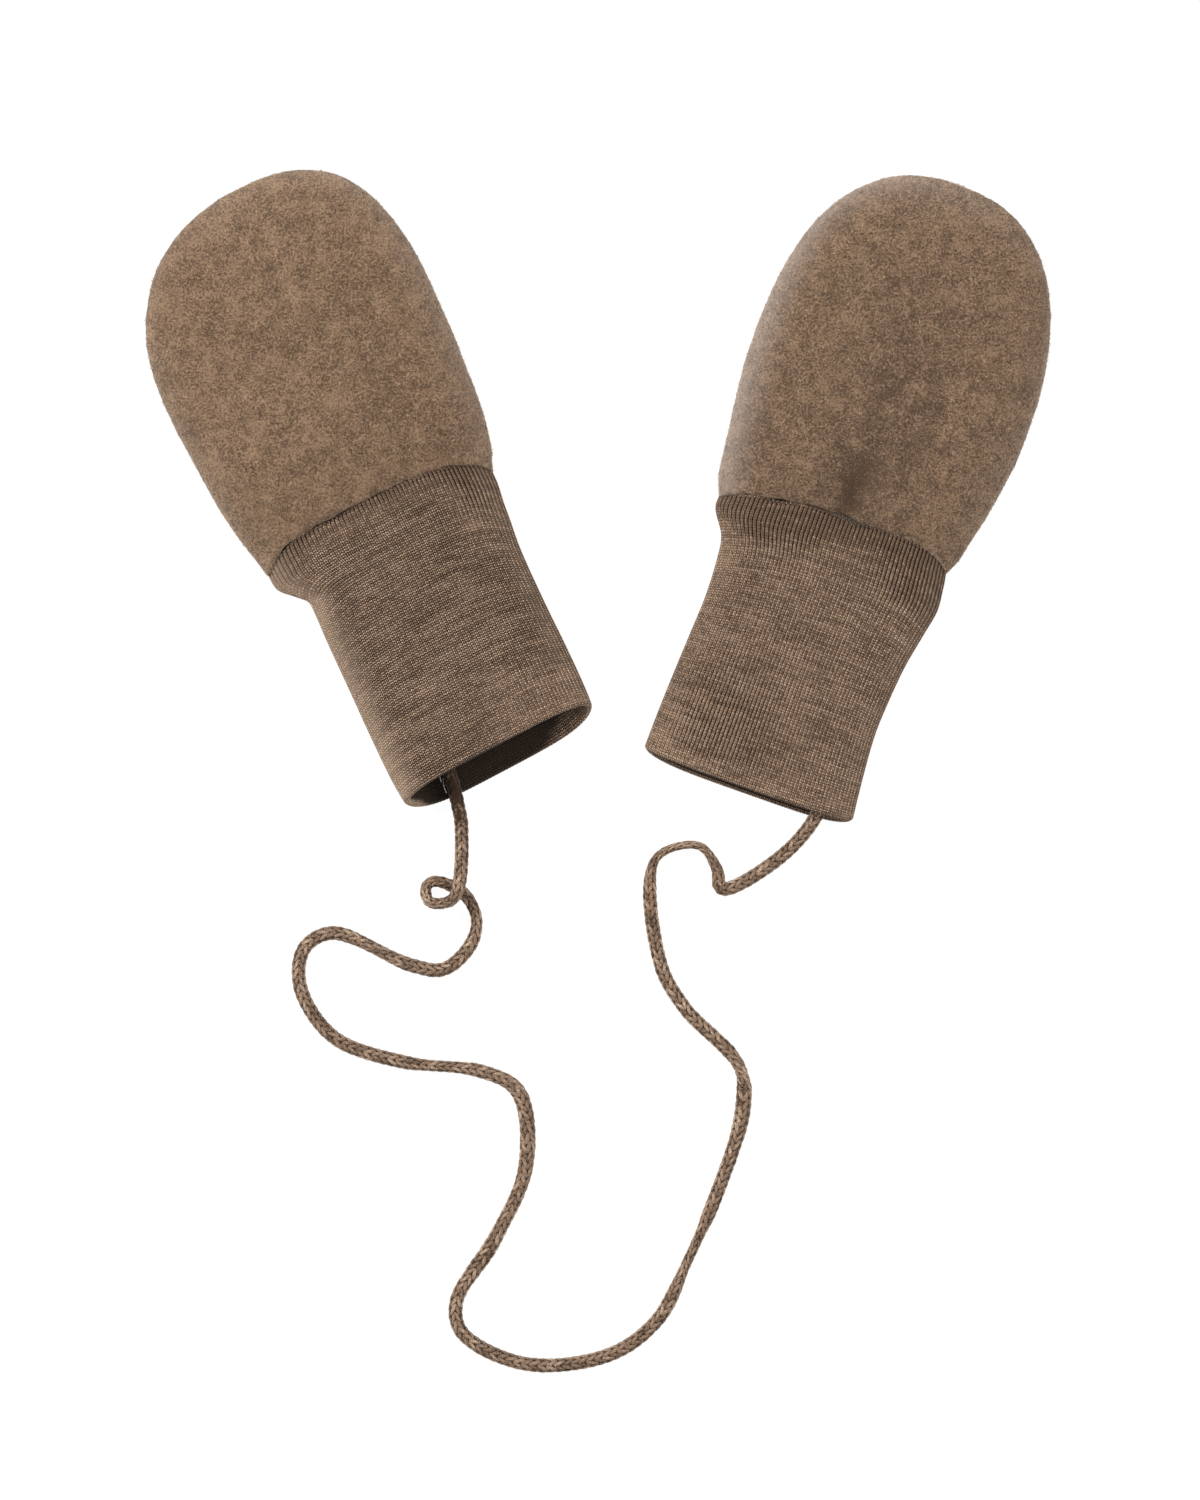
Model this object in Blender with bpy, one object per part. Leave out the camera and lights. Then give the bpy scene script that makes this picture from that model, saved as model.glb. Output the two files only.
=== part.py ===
"""Pair of baby mittens laid side by side, joined by a knitted cord.

Each mitten is cut as two wool fleece panels, sewn together round the sides and the tip, and a rib
knit cuff, folded double, sewn to the wrist. The mittens lie on their backs on the plane z = 0 with
their mouths towards -Y, and left and right are as seen from above.

Every mitten is shaped in its own plan: x across, y along from the middle of the wrist seam
(towards the tip is positive), z up, all in millimetres. It is then turned and placed as a whole.
"""

import math
from collections import namedtuple

import bmesh
import bpy
from mathutils import Vector

MM = 0.001

# Cloth and seams, in mm.
FLEECE_WALL = 2.2
CUFF_WALL = 1.8
SEAM_GAP = 0.3
SEAM_STRIP = 0.8
FOLD_ROUND = 0.9
CORD_DIAMETER = 3.6

# Heights above the surface, in mm: the hands are fullest in the middle.
HAND_HEIGHT = 16.5
HAND_SEAM_HEIGHT = 6.4
WRIST_HEIGHT = 11.5
SHOULDER_LENGTH = 24.0

# Roundness of the forms: the power of a rounded edge, and how far the underside lies flat.
TOP_POWER = 4
UNDERSIDE_POWER = 6
UNDERSIDE_FLATNESS = 1.06
TIP_POWER = 2.4
TIP_CORNER = 0.68

# Faces across and along a hand panel, and around and along a cuff.
PANEL_ACROSS = 20
PANEL_ALONG = 14
CUFF_AROUND = 32
CUFF_ALONG = 13

Corner = namedtuple("Corner", "across along power")
Edge = namedtuple("Edge", "along left right")
Section = namedtuple("Section", "along left right height")
Crease = namedtuple("Crease", "across along half_width half_length depth")
Mouth = namedtuple("Mouth", "left right upper lower")
Mitten = namedtuple(
    "Mitten", "name place lean wrist_left wrist_right hand_edges tip tip_across cuff mouth creases"
)

LEFT_MITTEN = Mitten(
    name="left",
    place=(-57.4, -0.2),
    lean=25.5,
    wrist_left=Corner(across=-33.0, along=-6.0, power=5.0),
    wrist_right=Corner(across=30.4, along=-6.5, power=4.3),
    hand_edges=(
        Edge(along=-1.8, left=-34.3, right=32.8),
        Edge(along=2.0, left=-35.2, right=33.9),
        Edge(along=9.0, left=-36.3, right=35.1),
        Edge(along=20.0, left=-37.3, right=35.9),
        Edge(along=31.0, left=-37.9, right=36.5),
        Edge(along=42.0, left=-38.2, right=36.8),
    ),
    tip=85.7,
    tip_across=3.9,
    cuff=(
        Section(along=-76.0, left=-26.2, right=27.2, height=13.0),
        Section(along=-68.0, left=-26.9, right=27.9, height=12.4),
        Section(along=-56.0, left=-27.0, right=28.1, height=11.6),
        Section(along=-43.0, left=-26.8, right=28.0, height=11.0),
        Section(along=-28.0, left=-26.6, right=28.3, height=10.6),
        Section(along=-19.5, left=-26.3, right=29.2, height=10.7),
        Section(along=-17.0, left=-26.6, right=29.4, height=10.8),
        Section(along=-14.5, left=-29.0, right=29.7, height=10.9),
        Section(along=-11.0, left=-32.3, right=30.2, height=11.2),
        Section(along=-6.0, left=-33.0, right=30.4, height=11.5),
    ),
    mouth=Mouth(left=-73.2, right=-72.2, upper=1.6, lower=-4.6),
    creases=(),
)

RIGHT_MITTEN = Mitten(
    name="right",
    place=(62.7, -5.1),
    lean=-19.5,
    wrist_left=Corner(across=-31.8, along=-4.9, power=2.2),
    wrist_right=Corner(across=29.6, along=-4.9, power=6.0),
    hand_edges=(
        Edge(along=-1.4, left=-33.6, right=31.6),
        Edge(along=4.0, left=-34.5, right=32.8),
        Edge(along=10.0, left=-35.2, right=34.2),
        Edge(along=20.0, left=-36.4, right=36.0),
        Edge(along=28.0, left=-37.3, right=37.1),
        Edge(along=34.0, left=-37.3, right=37.4),
    ),
    tip=89.3,
    tip_across=-0.6,
    cuff=(
        Section(along=-76.0, left=-28.4, right=28.5, height=9.5),
        Section(along=-72.0, left=-28.3, right=28.1, height=9.4),
        Section(along=-61.0, left=-28.0, right=27.0, height=9.5),
        Section(along=-50.0, left=-27.5, right=26.3, height=9.7),
        Section(along=-41.0, left=-27.0, right=26.7, height=9.9),
        Section(along=-31.0, left=-26.5, right=27.7, height=10.2),
        Section(along=-21.0, left=-26.9, right=29.6, height=10.6),
        Section(along=-15.0, left=-27.9, right=30.7, height=10.9),
        Section(along=-9.0, left=-31.6, right=30.2, height=11.3),
        Section(along=-4.9, left=-31.8, right=29.6, height=11.5),
    ),
    mouth=Mouth(left=-72.6, right=-72.6, upper=-1.2, lower=-2.7),
    creases=(
        Crease(across=0.0, along=6.0, half_width=4.5, half_length=9.0, depth=1.6),
        Crease(across=-34.0, along=30.0, half_width=5.0, half_length=9.0, depth=0.8),
    ),
)

# The cord's route, in mm: out of the left mouth, round a small loop, along the surface and into
# the right mouth. At each end it lies inside its cuff, on the lower layer.
RoutePoint = namedtuple("RoutePoint", "x y z")
ON_SURFACE = 1.95
IN_CUFF = 4.0
CORD_ROUTE = (
    RoutePoint(-45.1, -54.1, IN_CUFF),
    RoutePoint(-38.0, -70.7, IN_CUFF),
    RoutePoint(-35.9, -78.4, IN_CUFF),
    RoutePoint(-34.9, -85.0, 2.9),
    RoutePoint(-36.8, -102.6, 5.95),
    RoutePoint(-43.1, -103.6, 3.2),
    RoutePoint(-44.0, -99.8, 2.0),
    RoutePoint(-41.8, -98.4, ON_SURFACE),
    RoutePoint(-34.4, -101.6, ON_SURFACE),
    RoutePoint(-31.1, -107.9, ON_SURFACE),
    RoutePoint(-32.6, -114.6, ON_SURFACE),
    RoutePoint(-39.5, -120.9, ON_SURFACE),
    RoutePoint(-47.7, -119.9, ON_SURFACE),
    RoutePoint(-68.1, -111.6, ON_SURFACE),
    RoutePoint(-75.2, -115.6, ON_SURFACE),
    RoutePoint(-76.2, -125.5, ON_SURFACE),
    RoutePoint(-67.8, -138.2, ON_SURFACE),
    RoutePoint(-50.5, -144.5, ON_SURFACE),
    RoutePoint(-29.3, -147.2, ON_SURFACE),
    RoutePoint(-20.4, -152.3, ON_SURFACE),
    RoutePoint(-18.5, -171.4, ON_SURFACE),
    RoutePoint(-26.5, -190.1, ON_SURFACE),
    RoutePoint(-36.2, -205.9, ON_SURFACE),
    RoutePoint(-34.9, -213.8, ON_SURFACE),
    RoutePoint(-18.6, -221.9, ON_SURFACE),
    RoutePoint(3.3, -219.4, ON_SURFACE),
    RoutePoint(15.3, -210.5, ON_SURFACE),
    RoutePoint(23.0, -195.4, ON_SURFACE),
    RoutePoint(30.1, -179.1, ON_SURFACE),
    RoutePoint(37.0, -157.2, ON_SURFACE),
    RoutePoint(36.2, -145.9, ON_SURFACE),
    RoutePoint(22.0, -130.6, ON_SURFACE),
    RoutePoint(15.8, -118.9, ON_SURFACE),
    RoutePoint(14.8, -92.6, ON_SURFACE),
    RoutePoint(25.8, -89.3, ON_SURFACE),
    RoutePoint(30.4, -95.2, ON_SURFACE),
    RoutePoint(31.6, -100.3, ON_SURFACE),
    RoutePoint(45.8, -92.9, ON_SURFACE),
    RoutePoint(55.7, -81.7, IN_CUFF),
    RoutePoint(60.2, -67.9, IN_CUFF),
)
CORD_LONGEST_STEP = 10.0
CORD_LARGEST_TURN = math.radians(26)

# How finely smooth curves are read: samples between two given points, and round half the tip.
SAMPLES_PER_SPAN = 24
TIP_SAMPLES = 40
SHARP_EDGE = math.radians(50)

Finish = namedtuple("Finish", "color roughness")
FLEECE = Finish(color=(0.216, 0.138, 0.089), roughness=0.95)
RIB_KNIT = Finish(color=(0.180, 0.120, 0.083), roughness=0.85)
CORD_YARN = Finish(color=(0.204, 0.134, 0.090), roughness=0.85)


def make_material(name, finish):
    material = bpy.data.materials.new(name)
    material.use_nodes = True
    shader = material.node_tree.nodes["Principled BSDF"]
    shader.inputs["Base Color"].default_value = (*finish.color, 1.0)
    shader.inputs["Roughness"].default_value = finish.roughness
    shader.inputs["Metallic"].default_value = 0.0
    return material


def add_object(name, data, material):
    obj = bpy.data.objects.new(name, data)
    bpy.context.scene.collection.objects.link(obj)
    data.materials.append(material)
    return obj


def weigh(start, end, slope_start, slope_end, span, t):
    """Cubic from start to end over span, with the given slopes, at fraction t."""
    return (
        start * (2 * t**3 - 3 * t**2 + 1)
        + slope_start * (span * (t**3 - 2 * t**2 + t))
        + end * (3 * t**2 - 2 * t**3)
        + slope_end * (span * (t**3 - t**2))
    )


def curve_through(points):
    """Points of a smooth curve (centripetal Catmull-Rom) through the given ones."""
    knots = [0.0]
    for first, second in zip(points, points[1:]):
        knots.append(knots[-1] + math.sqrt((second - first).length))
    rates = [
        (second - first) / (knots[i + 1] - knots[i])
        for i, (first, second) in enumerate(zip(points, points[1:]))
    ]
    slopes = [rates[0]]
    for i in range(1, len(points) - 1):
        across_both = (points[i + 1] - points[i - 1]) / (knots[i + 1] - knots[i - 1])
        slopes.append(rates[i - 1] + rates[i] - across_both)
    slopes.append(rates[-1])
    curve = []
    for i in range(len(points) - 1):
        span = knots[i + 1] - knots[i]
        for k in range(SAMPLES_PER_SPAN):
            t = k / SAMPLES_PER_SPAN
            curve.append(weigh(points[i], points[i + 1], slopes[i], slopes[i + 1], span, t))
    curve.append(points[-1].copy())
    return curve


def read_table(rows, column, along):
    """Value of a table's column at a distance along, on a smooth curve through its rows."""
    places = [row.along for row in rows]
    values = [getattr(row, column) for row in rows]
    along = min(max(along, places[0]), places[-1])
    i = min(max(k for k in range(len(places)) if places[k] <= along), len(places) - 2)

    def slope(k):
        low, high = max(k - 1, 0), min(k + 1, len(places) - 1)
        return (values[high] - values[low]) / (places[high] - places[low])

    span = places[i + 1] - places[i]
    return weigh(values[i], values[i + 1], slope(i), slope(i + 1), span, (along - places[i]) / span)


def point_on(path, fraction):
    """Point at a fraction of the length of a path."""
    lengths = [0.0]
    for first, second in zip(path, path[1:]):
        lengths.append(lengths[-1] + (second - first).length)
    target = min(max(fraction, 0.0), 1.0) * lengths[-1]
    for i in range(1, len(path)):
        if target <= lengths[i]:
            return path[i - 1].lerp(path[i], (target - lengths[i - 1]) / (lengths[i] - lengths[i - 1]))
    return path[-1].copy()


def rounded(position, power):
    """Height of a rounded edge: 1 in the middle, 0 at position -1 and 1."""
    return math.sqrt(max(0.0, 1.0 - abs(position) ** power))


def underside(lift):
    """Share of the way down to the surface: 1 where the cloth lies flat on it."""
    return min(1.0, UNDERSIDE_FLATNESS * lift)


def upper_side(seam, top, lift):
    """Height of the upper cloth: an upright turn at the side seam, then the rounded top."""
    turned = seam + SEAM_STRIP
    return turned + (top - turned) * lift


def crease_depth(mitten, across, along):
    """How far the creases push the upper cloth down at a place."""
    return sum(
        crease.depth * math.exp(
            -((across - crease.across) / crease.half_width) ** 2
            - ((along - crease.along) / crease.half_length) ** 2
        )
        for crease in mitten.creases
    )


def wrist_seam(mitten, position):
    """Place of the wrist seam, from position -1 at its left corner to 1 at its right corner."""
    left, right = mitten.wrist_left, mitten.wrist_right
    across = left.across + (right.across - left.across) * (position + 1) / 2
    corner = left if position < 0 else right
    return Vector((across, corner.along * abs(position) ** corner.power))


def hand_side(mitten, side):
    """Plan outline of one side of the hand, from the wrist seam's corner to the tip."""
    corner = mitten.wrist_left if side == "left" else mitten.wrist_right
    turns = [Vector((corner.across, corner.along))]
    turns += [Vector((getattr(edge, side), edge.along)) for edge in mitten.hand_edges]
    path = curve_through(turns)
    start = mitten.hand_edges[-1]
    middle = (start.left + start.right) / 2
    half_width = getattr(start, side) - middle
    for k in range(1, TIP_SAMPLES + 1):
        angle = math.pi / 2 * k / TIP_SAMPLES
        rise = math.sin(angle) ** (2 / TIP_POWER)
        shift = (mitten.tip_across - middle) * rise**2
        across = middle + shift + half_width * abs(math.cos(angle)) ** (2 / TIP_POWER)
        path.append(Vector((across, start.along + (mitten.tip - start.along) * rise)))
    return path


def hand_height(along):
    """Height of the hand's top: it rises from the wrist seam over the shoulder."""
    fraction = min(max(along / SHOULDER_LENGTH, 0.0), 1.0)
    return WRIST_HEIGHT + (HAND_HEIGHT - WRIST_HEIGHT) * (1 - (1 - fraction) ** 3)


def side_seam_height(along):
    """Height of the side seam: half the cuff's at the wrist, a little more along the hand."""
    fraction = min(max(along / SHOULDER_LENGTH, 0.0), 1.0)
    at_wrist = WRIST_HEIGHT / 2
    return at_wrist + (HAND_SEAM_HEIGHT - at_wrist) * fraction


def hand_plan(mitten, left, right, across, along):
    """Plan place of a panel's point, spread evenly between its sides, its wrist and its tip.

    across runs from -1 to 1, along from 0 at the wrist to 1 at the tip.
    """
    u, v = (across + 1) / 2, along
    gap = Vector((0.0, SEAM_GAP / 2)) * (1 - v)
    on_left = point_on(left, TIP_CORNER * v)
    on_right = point_on(right, TIP_CORNER * v)
    if u < 0.5:
        on_tip = point_on(left, TIP_CORNER + (1 - TIP_CORNER) * 2 * u)
    else:
        on_tip = point_on(right, TIP_CORNER + (1 - TIP_CORNER) * 2 * (1 - u))
    between_wrist_corners = left[0].lerp(right[0], u)
    between_tip_corners = point_on(left, TIP_CORNER).lerp(point_on(right, TIP_CORNER), u)
    return (
        wrist_seam(mitten, across).lerp(on_tip, v)
        + on_left.lerp(on_right, u)
        - between_wrist_corners.lerp(between_tip_corners, v)
        + gap
    )


def shaped_grid(columns, rows, place):
    """Grid of faces with each vertex put where place(column, row) says."""
    mesh = bmesh.new()
    bmesh.ops.create_grid(mesh, x_segments=columns, y_segments=rows, size=1.0)
    for vertex in mesh.verts:
        column = round((vertex.co.x + 1) / 2 * columns)
        row = round((vertex.co.y + 1) / 2 * rows)
        vertex.co = Vector(place(column, row)) * MM
    return mesh


def finish_mesh(mesh, name):
    data = bpy.data.meshes.new(name)
    mesh.to_mesh(data)
    mesh.free()
    data.shade_smooth()
    data.set_sharp_from_angle(angle=SHARP_EDGE)
    return data


def hand_panel(mitten, side, material):
    """One fleece panel: a dome closed at the side seam, open at the wrist, with an even wall."""
    is_front = side == "front"
    left, right = hand_side(mitten, "left"), hand_side(mitten, "right")

    def place(column, row):
        across = -math.cos(math.pi * column / PANEL_ACROSS)
        along = math.sin(math.pi / 2 * row / PANEL_ALONG)
        plan = hand_plan(mitten, left, right, across, along)
        seam = side_seam_height(plan.y)
        if is_front:
            lift = rounded(across, TOP_POWER) * rounded(along, TOP_POWER)
            height = upper_side(seam, hand_height(plan.y), lift)
            height -= crease_depth(mitten, plan.x, plan.y) * lift
        else:
            lift = rounded(across, UNDERSIDE_POWER) * rounded(along, UNDERSIDE_POWER)
            height = (seam - SEAM_STRIP) * (1 - underside(lift))
        return plan.x, plan.y, height

    mesh = shaped_grid(PANEL_ACROSS, PANEL_ALONG, place)
    mesh.verts.ensure_lookup_table()
    wrist_row = set(mesh.verts[:PANEL_ACROSS + 1])
    seam_edges = [
        edge for edge in mesh.edges
        if edge.is_boundary and not wrist_row.issuperset(edge.verts)
    ]
    turned = bmesh.ops.extrude_edge_only(mesh, edges=seam_edges)["geom"]
    turned = [item for item in turned if isinstance(item, bmesh.types.BMVert)]
    turn = (SEAM_STRIP - SEAM_GAP / 2) * MM
    bmesh.ops.translate(mesh, verts=turned, vec=Vector((0.0, 0.0, -turn if is_front else turn)))
    bmesh.ops.recalc_face_normals(mesh, faces=mesh.faces)
    middle = max(mesh.faces, key=lambda face: face.calc_area())
    if (middle.normal.z > 0) != is_front:
        bmesh.ops.reverse_faces(mesh, faces=mesh.faces)
    panel = add_object(f"{mitten.name}_hand_{side}", finish_mesh(mesh, side), material)
    wall = panel.modifiers.new("fleece wall", "SOLIDIFY")
    wall.thickness = FLEECE_WALL * MM
    wall.offset = -1.0
    return panel


def cuff_ring(mitten, turn, fraction, wall):
    """Point of a cuff: turn round it, fraction from the wrist seam to the mouth, wall inwards."""
    position, rise = math.cos(turn), math.sin(turn)
    seam = wrist_seam(mitten, position).y - SEAM_GAP / 2
    mouth = mitten.mouth
    edge = mouth.left + (mouth.right - mouth.left) * (position + 1) / 2
    slant = mouth.upper if rise > 0 else mouth.lower
    edge += slant * rounded(position, TOP_POWER) + FOLD_ROUND
    along = seam + (edge - seam) * fraction
    left = read_table(mitten.cuff, "left", along) + wall
    right = read_table(mitten.cuff, "right", along) - wall
    across = left + (right - left) * (position + 1) / 2
    height = read_table(mitten.cuff, "height", along)
    middle = height / 2
    if abs(rise) < 1e-6:
        return across, along, middle
    if rise > 0:
        lift = rounded(position, TOP_POWER)
        top = upper_side(middle, height - wall, lift)
        return across, along, top - crease_depth(mitten, across, along) * lift
    lift = underside(rounded(position, UNDERSIDE_POWER))
    return across, along, middle - (middle - wall) * lift


def cuff(mitten, material):
    """Rib knit tube folded double: one wall, rounded over at the mouth and closed at the wrist."""
    fold_row = CUFF_ALONG + 1
    last_row = 2 * CUFF_ALONG + 3

    def place(column, row):
        turn = 2 * math.pi * column / CUFF_AROUND
        if row < fold_row:
            return cuff_ring(mitten, turn, row / CUFF_ALONG, 0.0)
        if row == fold_row:
            across, along, height = cuff_ring(mitten, turn, 1.0, CUFF_WALL / 2)
            return across, along - FOLD_ROUND, height
        if row < last_row:
            return cuff_ring(mitten, turn, (last_row - 1 - row) / CUFF_ALONG, CUFF_WALL)
        return cuff_ring(mitten, turn, 0.0, 0.0)

    mesh = shaped_grid(CUFF_AROUND, last_row, place)
    bmesh.ops.remove_doubles(mesh, verts=mesh.verts, dist=0.001 * MM)
    bmesh.ops.recalc_face_normals(mesh, faces=mesh.faces)
    return add_object(f"{mitten.name}_cuff", finish_mesh(mesh, "cuff"), material)


def place_mitten(mitten, pieces):
    for piece in pieces:
        piece.location = (mitten.place[0] * MM, mitten.place[1] * MM, 0.0)
        piece.rotation_euler = (0.0, 0.0, math.radians(mitten.lean))


def cord_points():
    """Points of the cord's tube: further apart where it runs straight, closer in its bends."""
    curve = curve_through([Vector(point) for point in CORD_ROUTE])
    chosen = [curve[0]]
    run = 0.0
    turned = 0.0
    for before, here, after in zip(curve, curve[1:], curve[2:]):
        run += (here - before).length
        turned += (here - before).angle(after - here)
        if run >= CORD_LONGEST_STEP or turned >= CORD_LARGEST_TURN:
            chosen.append(here)
            run = 0.0
            turned = 0.0
    chosen.append(curve[-1])
    return chosen


def cord(material):
    """Round knitted cord: a tube with closed ends."""
    data = bpy.data.curves.new("cord", "CURVE")
    data.dimensions = "3D"
    points = cord_points()
    spline = data.splines.new("POLY")
    spline.points.add(len(points) - 1)
    for point, target in zip(spline.points, points):
        point.co = (*(target * MM), 1.0)
    data.bevel_depth = CORD_DIAMETER / 2 * MM
    data.bevel_resolution = 2
    data.use_fill_caps = True
    return add_object("cord", data, material)


def build():
    for obj in list(bpy.data.objects):
        bpy.data.objects.remove(obj)
    fleece = make_material("wool fleece", FLEECE)
    rib_knit = make_material("rib knit", RIB_KNIT)
    for mitten in (LEFT_MITTEN, RIGHT_MITTEN):
        pieces = [hand_panel(mitten, side, fleece) for side in ("front", "back")]
        pieces.append(cuff(mitten, rib_knit))
        place_mitten(mitten, pieces)
    cord(make_material("knitted cord", CORD_YARN))


build()
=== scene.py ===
"""Looks of a pair of baby mittens: wool fleece hands on rib knit cuffs, joined by a knitted cord."""

import math
from collections import namedtuple

import bmesh
import bpy
import numpy as np
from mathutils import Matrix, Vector, noise


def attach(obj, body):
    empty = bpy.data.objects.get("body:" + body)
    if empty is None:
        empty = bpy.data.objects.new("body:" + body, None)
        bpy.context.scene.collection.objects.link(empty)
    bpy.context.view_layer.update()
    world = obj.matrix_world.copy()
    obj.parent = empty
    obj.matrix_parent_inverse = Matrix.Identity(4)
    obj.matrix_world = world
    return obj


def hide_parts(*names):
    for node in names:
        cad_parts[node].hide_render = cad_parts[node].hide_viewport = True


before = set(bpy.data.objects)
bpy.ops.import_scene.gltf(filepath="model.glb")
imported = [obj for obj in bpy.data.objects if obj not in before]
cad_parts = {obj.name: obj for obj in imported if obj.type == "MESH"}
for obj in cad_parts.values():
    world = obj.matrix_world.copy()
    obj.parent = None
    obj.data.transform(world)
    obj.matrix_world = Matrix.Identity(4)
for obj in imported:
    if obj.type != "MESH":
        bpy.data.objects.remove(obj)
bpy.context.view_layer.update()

# ---- Camera -------------------------------------------------------------------------------------
# The pair is seen from straight above, as it lies. The view is 306 mm wide and 382.5 mm high at the
# height of the side seams, and the lens is long, so the sides of the mittens stay out of sight.
VIEW_HEIGHT = 0.3825
VIEW_MIDDLE = (0.0005, -0.0648)
SEEN_LEVEL = 0.0064
CAMERA_ABOVE = 1.2

camera = bpy.data.objects.new("camera", bpy.data.cameras.new("camera"))
bpy.context.scene.collection.objects.link(camera)
camera.location = (*VIEW_MIDDLE, SEEN_LEVEL + CAMERA_ABOVE)
camera.data.lens = camera.data.sensor_width * CAMERA_ABOVE / VIEW_HEIGHT
bpy.context.scene.camera = camera
bpy.context.scene.view_settings.view_transform = "Standard"

# ---- Cord ---------------------------------------------------------------------------------------
# One length of wool yarn knitted round into a thin soft cord of four columns of stitches. Its ends
# lie in the cuffs, where they are sewn in; between them it lies loose, over itself in a small loop.
# The cord's sizes, and the places x, y and z along its middle, are in metres.
ON_SURFACE = 0.00195
IN_CUFF = 0.0040
CORD_ROUTE = (
    (-0.0451, -0.0541, IN_CUFF),
    (-0.0380, -0.0707, IN_CUFF),
    (-0.0359, -0.0784, IN_CUFF),
    (-0.0349, -0.0850, 0.0029),
    (-0.0368, -0.1026, 0.00595),
    (-0.0431, -0.1036, 0.0032),
    (-0.0440, -0.0998, 0.0020),
    (-0.0418, -0.0984, ON_SURFACE),
    (-0.0344, -0.1016, ON_SURFACE),
    (-0.0311, -0.1079, ON_SURFACE),
    (-0.0326, -0.1146, ON_SURFACE),
    (-0.0395, -0.1209, ON_SURFACE),
    (-0.0477, -0.1199, ON_SURFACE),
    (-0.0681, -0.1116, ON_SURFACE),
    (-0.0752, -0.1156, ON_SURFACE),
    (-0.0762, -0.1255, ON_SURFACE),
    (-0.0678, -0.1382, ON_SURFACE),
    (-0.0505, -0.1445, ON_SURFACE),
    (-0.0293, -0.1472, ON_SURFACE),
    (-0.0204, -0.1523, ON_SURFACE),
    (-0.0185, -0.1714, ON_SURFACE),
    (-0.0265, -0.1901, ON_SURFACE),
    (-0.0362, -0.2059, ON_SURFACE),
    (-0.0349, -0.2138, ON_SURFACE),
    (-0.0186, -0.2219, ON_SURFACE),
    (0.0033, -0.2194, ON_SURFACE),
    (0.0153, -0.2105, ON_SURFACE),
    (0.0230, -0.1954, ON_SURFACE),
    (0.0301, -0.1791, ON_SURFACE),
    (0.0370, -0.1572, ON_SURFACE),
    (0.0362, -0.1459, ON_SURFACE),
    (0.0220, -0.1306, ON_SURFACE),
    (0.0158, -0.1189, ON_SURFACE),
    (0.0148, -0.0926, ON_SURFACE),
    (0.0258, -0.0893, ON_SURFACE),
    (0.0304, -0.0952, ON_SURFACE),
    (0.0316, -0.1003, ON_SURFACE),
    (0.0458, -0.0929, ON_SURFACE),
    (0.0557, -0.0817, IN_CUFF),
    (0.0602, -0.0679, IN_CUFF),
)
CORD_COLUMNS = 4
CORD_COURSE = 0.0021
CORD_FLATNESS = 1.06
CORD_HIGHNESS = 0.94
CORE_RADIUS = 0.00156
CORE_SIDES = 10
SAMPLES_PER_SPAN = 24
MM = 0.001

# Where the cord is drawn thin, or lies wider, and where half a turn of twist is in it: the distance
# along it, half the stretch's length, the share of width lost, and the half turns.
Stretch = namedtuple("Stretch", "at half_length narrow half_turns")


def table(kind, *rows):
    """A table of one kind of row, which names the values of each row in their order."""
    return tuple(kind(*row) for row in rows)


CORD_STRETCHES = table(
    Stretch,
    (0.060, 0.011, 0.20, 1),
    (0.080, 0.006, 0.16, 0),
    (0.116, 0.007, 0.12, 1),
    (0.191, 0.007, 0.18, 0),
    (0.222, 0.012, -0.12, 1),
    (0.257, 0.007, -0.10, 0),
    (0.354, 0.009, 0.29, 1),
    (0.393, 0.007, -0.14, 0),
    (0.404, 0.004, 0.12, 1),
    (0.473, 0.0125, 0.42, 1),
)


def smooth_between(t, start, end, leaving, arriving):
    """A smooth way from start to end while t goes from 0 to 1, with its slopes at both ends."""
    return (
        start * (2 * t**3 - 3 * t**2 + 1) + leaving * (t**3 - 2 * t**2 + t)
        + end * (3 * t**2 - 2 * t**3) + arriving * (t**3 - t**2)
    )


def smooth_line(points):
    """Points of a smooth curve (centripetal Catmull-Rom) through the given ones."""
    points = np.array(points, float)
    chords = np.diff(points, axis=0)
    knots = np.sqrt(np.linalg.norm(chords, axis=1))[:, None]
    rates = chords / knots
    slopes = np.concatenate([
        rates[:1],
        rates[:-1] + rates[1:] - (points[2:] - points[:-2]) / (knots[:-1] + knots[1:]),
        rates[-1:],
    ])
    t = np.arange(SAMPLES_PER_SPAN)[None, :, None] / SAMPLES_PER_SPAN
    span = knots[:, None, :]
    start, end = points[:-1, None, :], points[1:, None, :]
    leaving, arriving = slopes[:-1, None, :] * span, slopes[1:, None, :] * span
    curve = smooth_between(t, start, end, leaving, arriving)
    return np.concatenate([curve.reshape(-1, points.shape[1]), points[-1:]])


def lengths_along(line):
    """Distance from the start of a line to each of its points."""
    return np.concatenate([[0.0], np.cumsum(np.linalg.norm(np.diff(line, axis=0), axis=1))])


def read_along(distances, values, at):
    """A line's values, point by point, read at the given distances."""
    return np.stack([np.interp(at, distances, column) for column in values.T], axis=-1)


def unit(vectors):
    """Vectors of the same directions and of length 1."""
    return vectors / np.linalg.norm(vectors, axis=-1, keepdims=True)


def beside_and_above(line):
    """The directions to the side of a line and up from it, at each of its points."""
    ahead = unit(np.gradient(line, axis=0))
    side = unit(np.cross(ahead, (0.0, 0.0, 1.0)))
    return side, np.cross(side, ahead)


def get_places(mesh):
    """Places of a mesh's vertices."""
    places = np.empty(len(mesh.vertices) * 3, np.float32)
    mesh.vertices.foreach_get("co", places)
    return places.reshape(-1, 3).astype(float)


def set_places(mesh, places):
    """Puts a mesh's vertices in new places."""
    mesh.vertices.foreach_set("co", np.asarray(places, np.float32).ravel())
    mesh.update()


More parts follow.
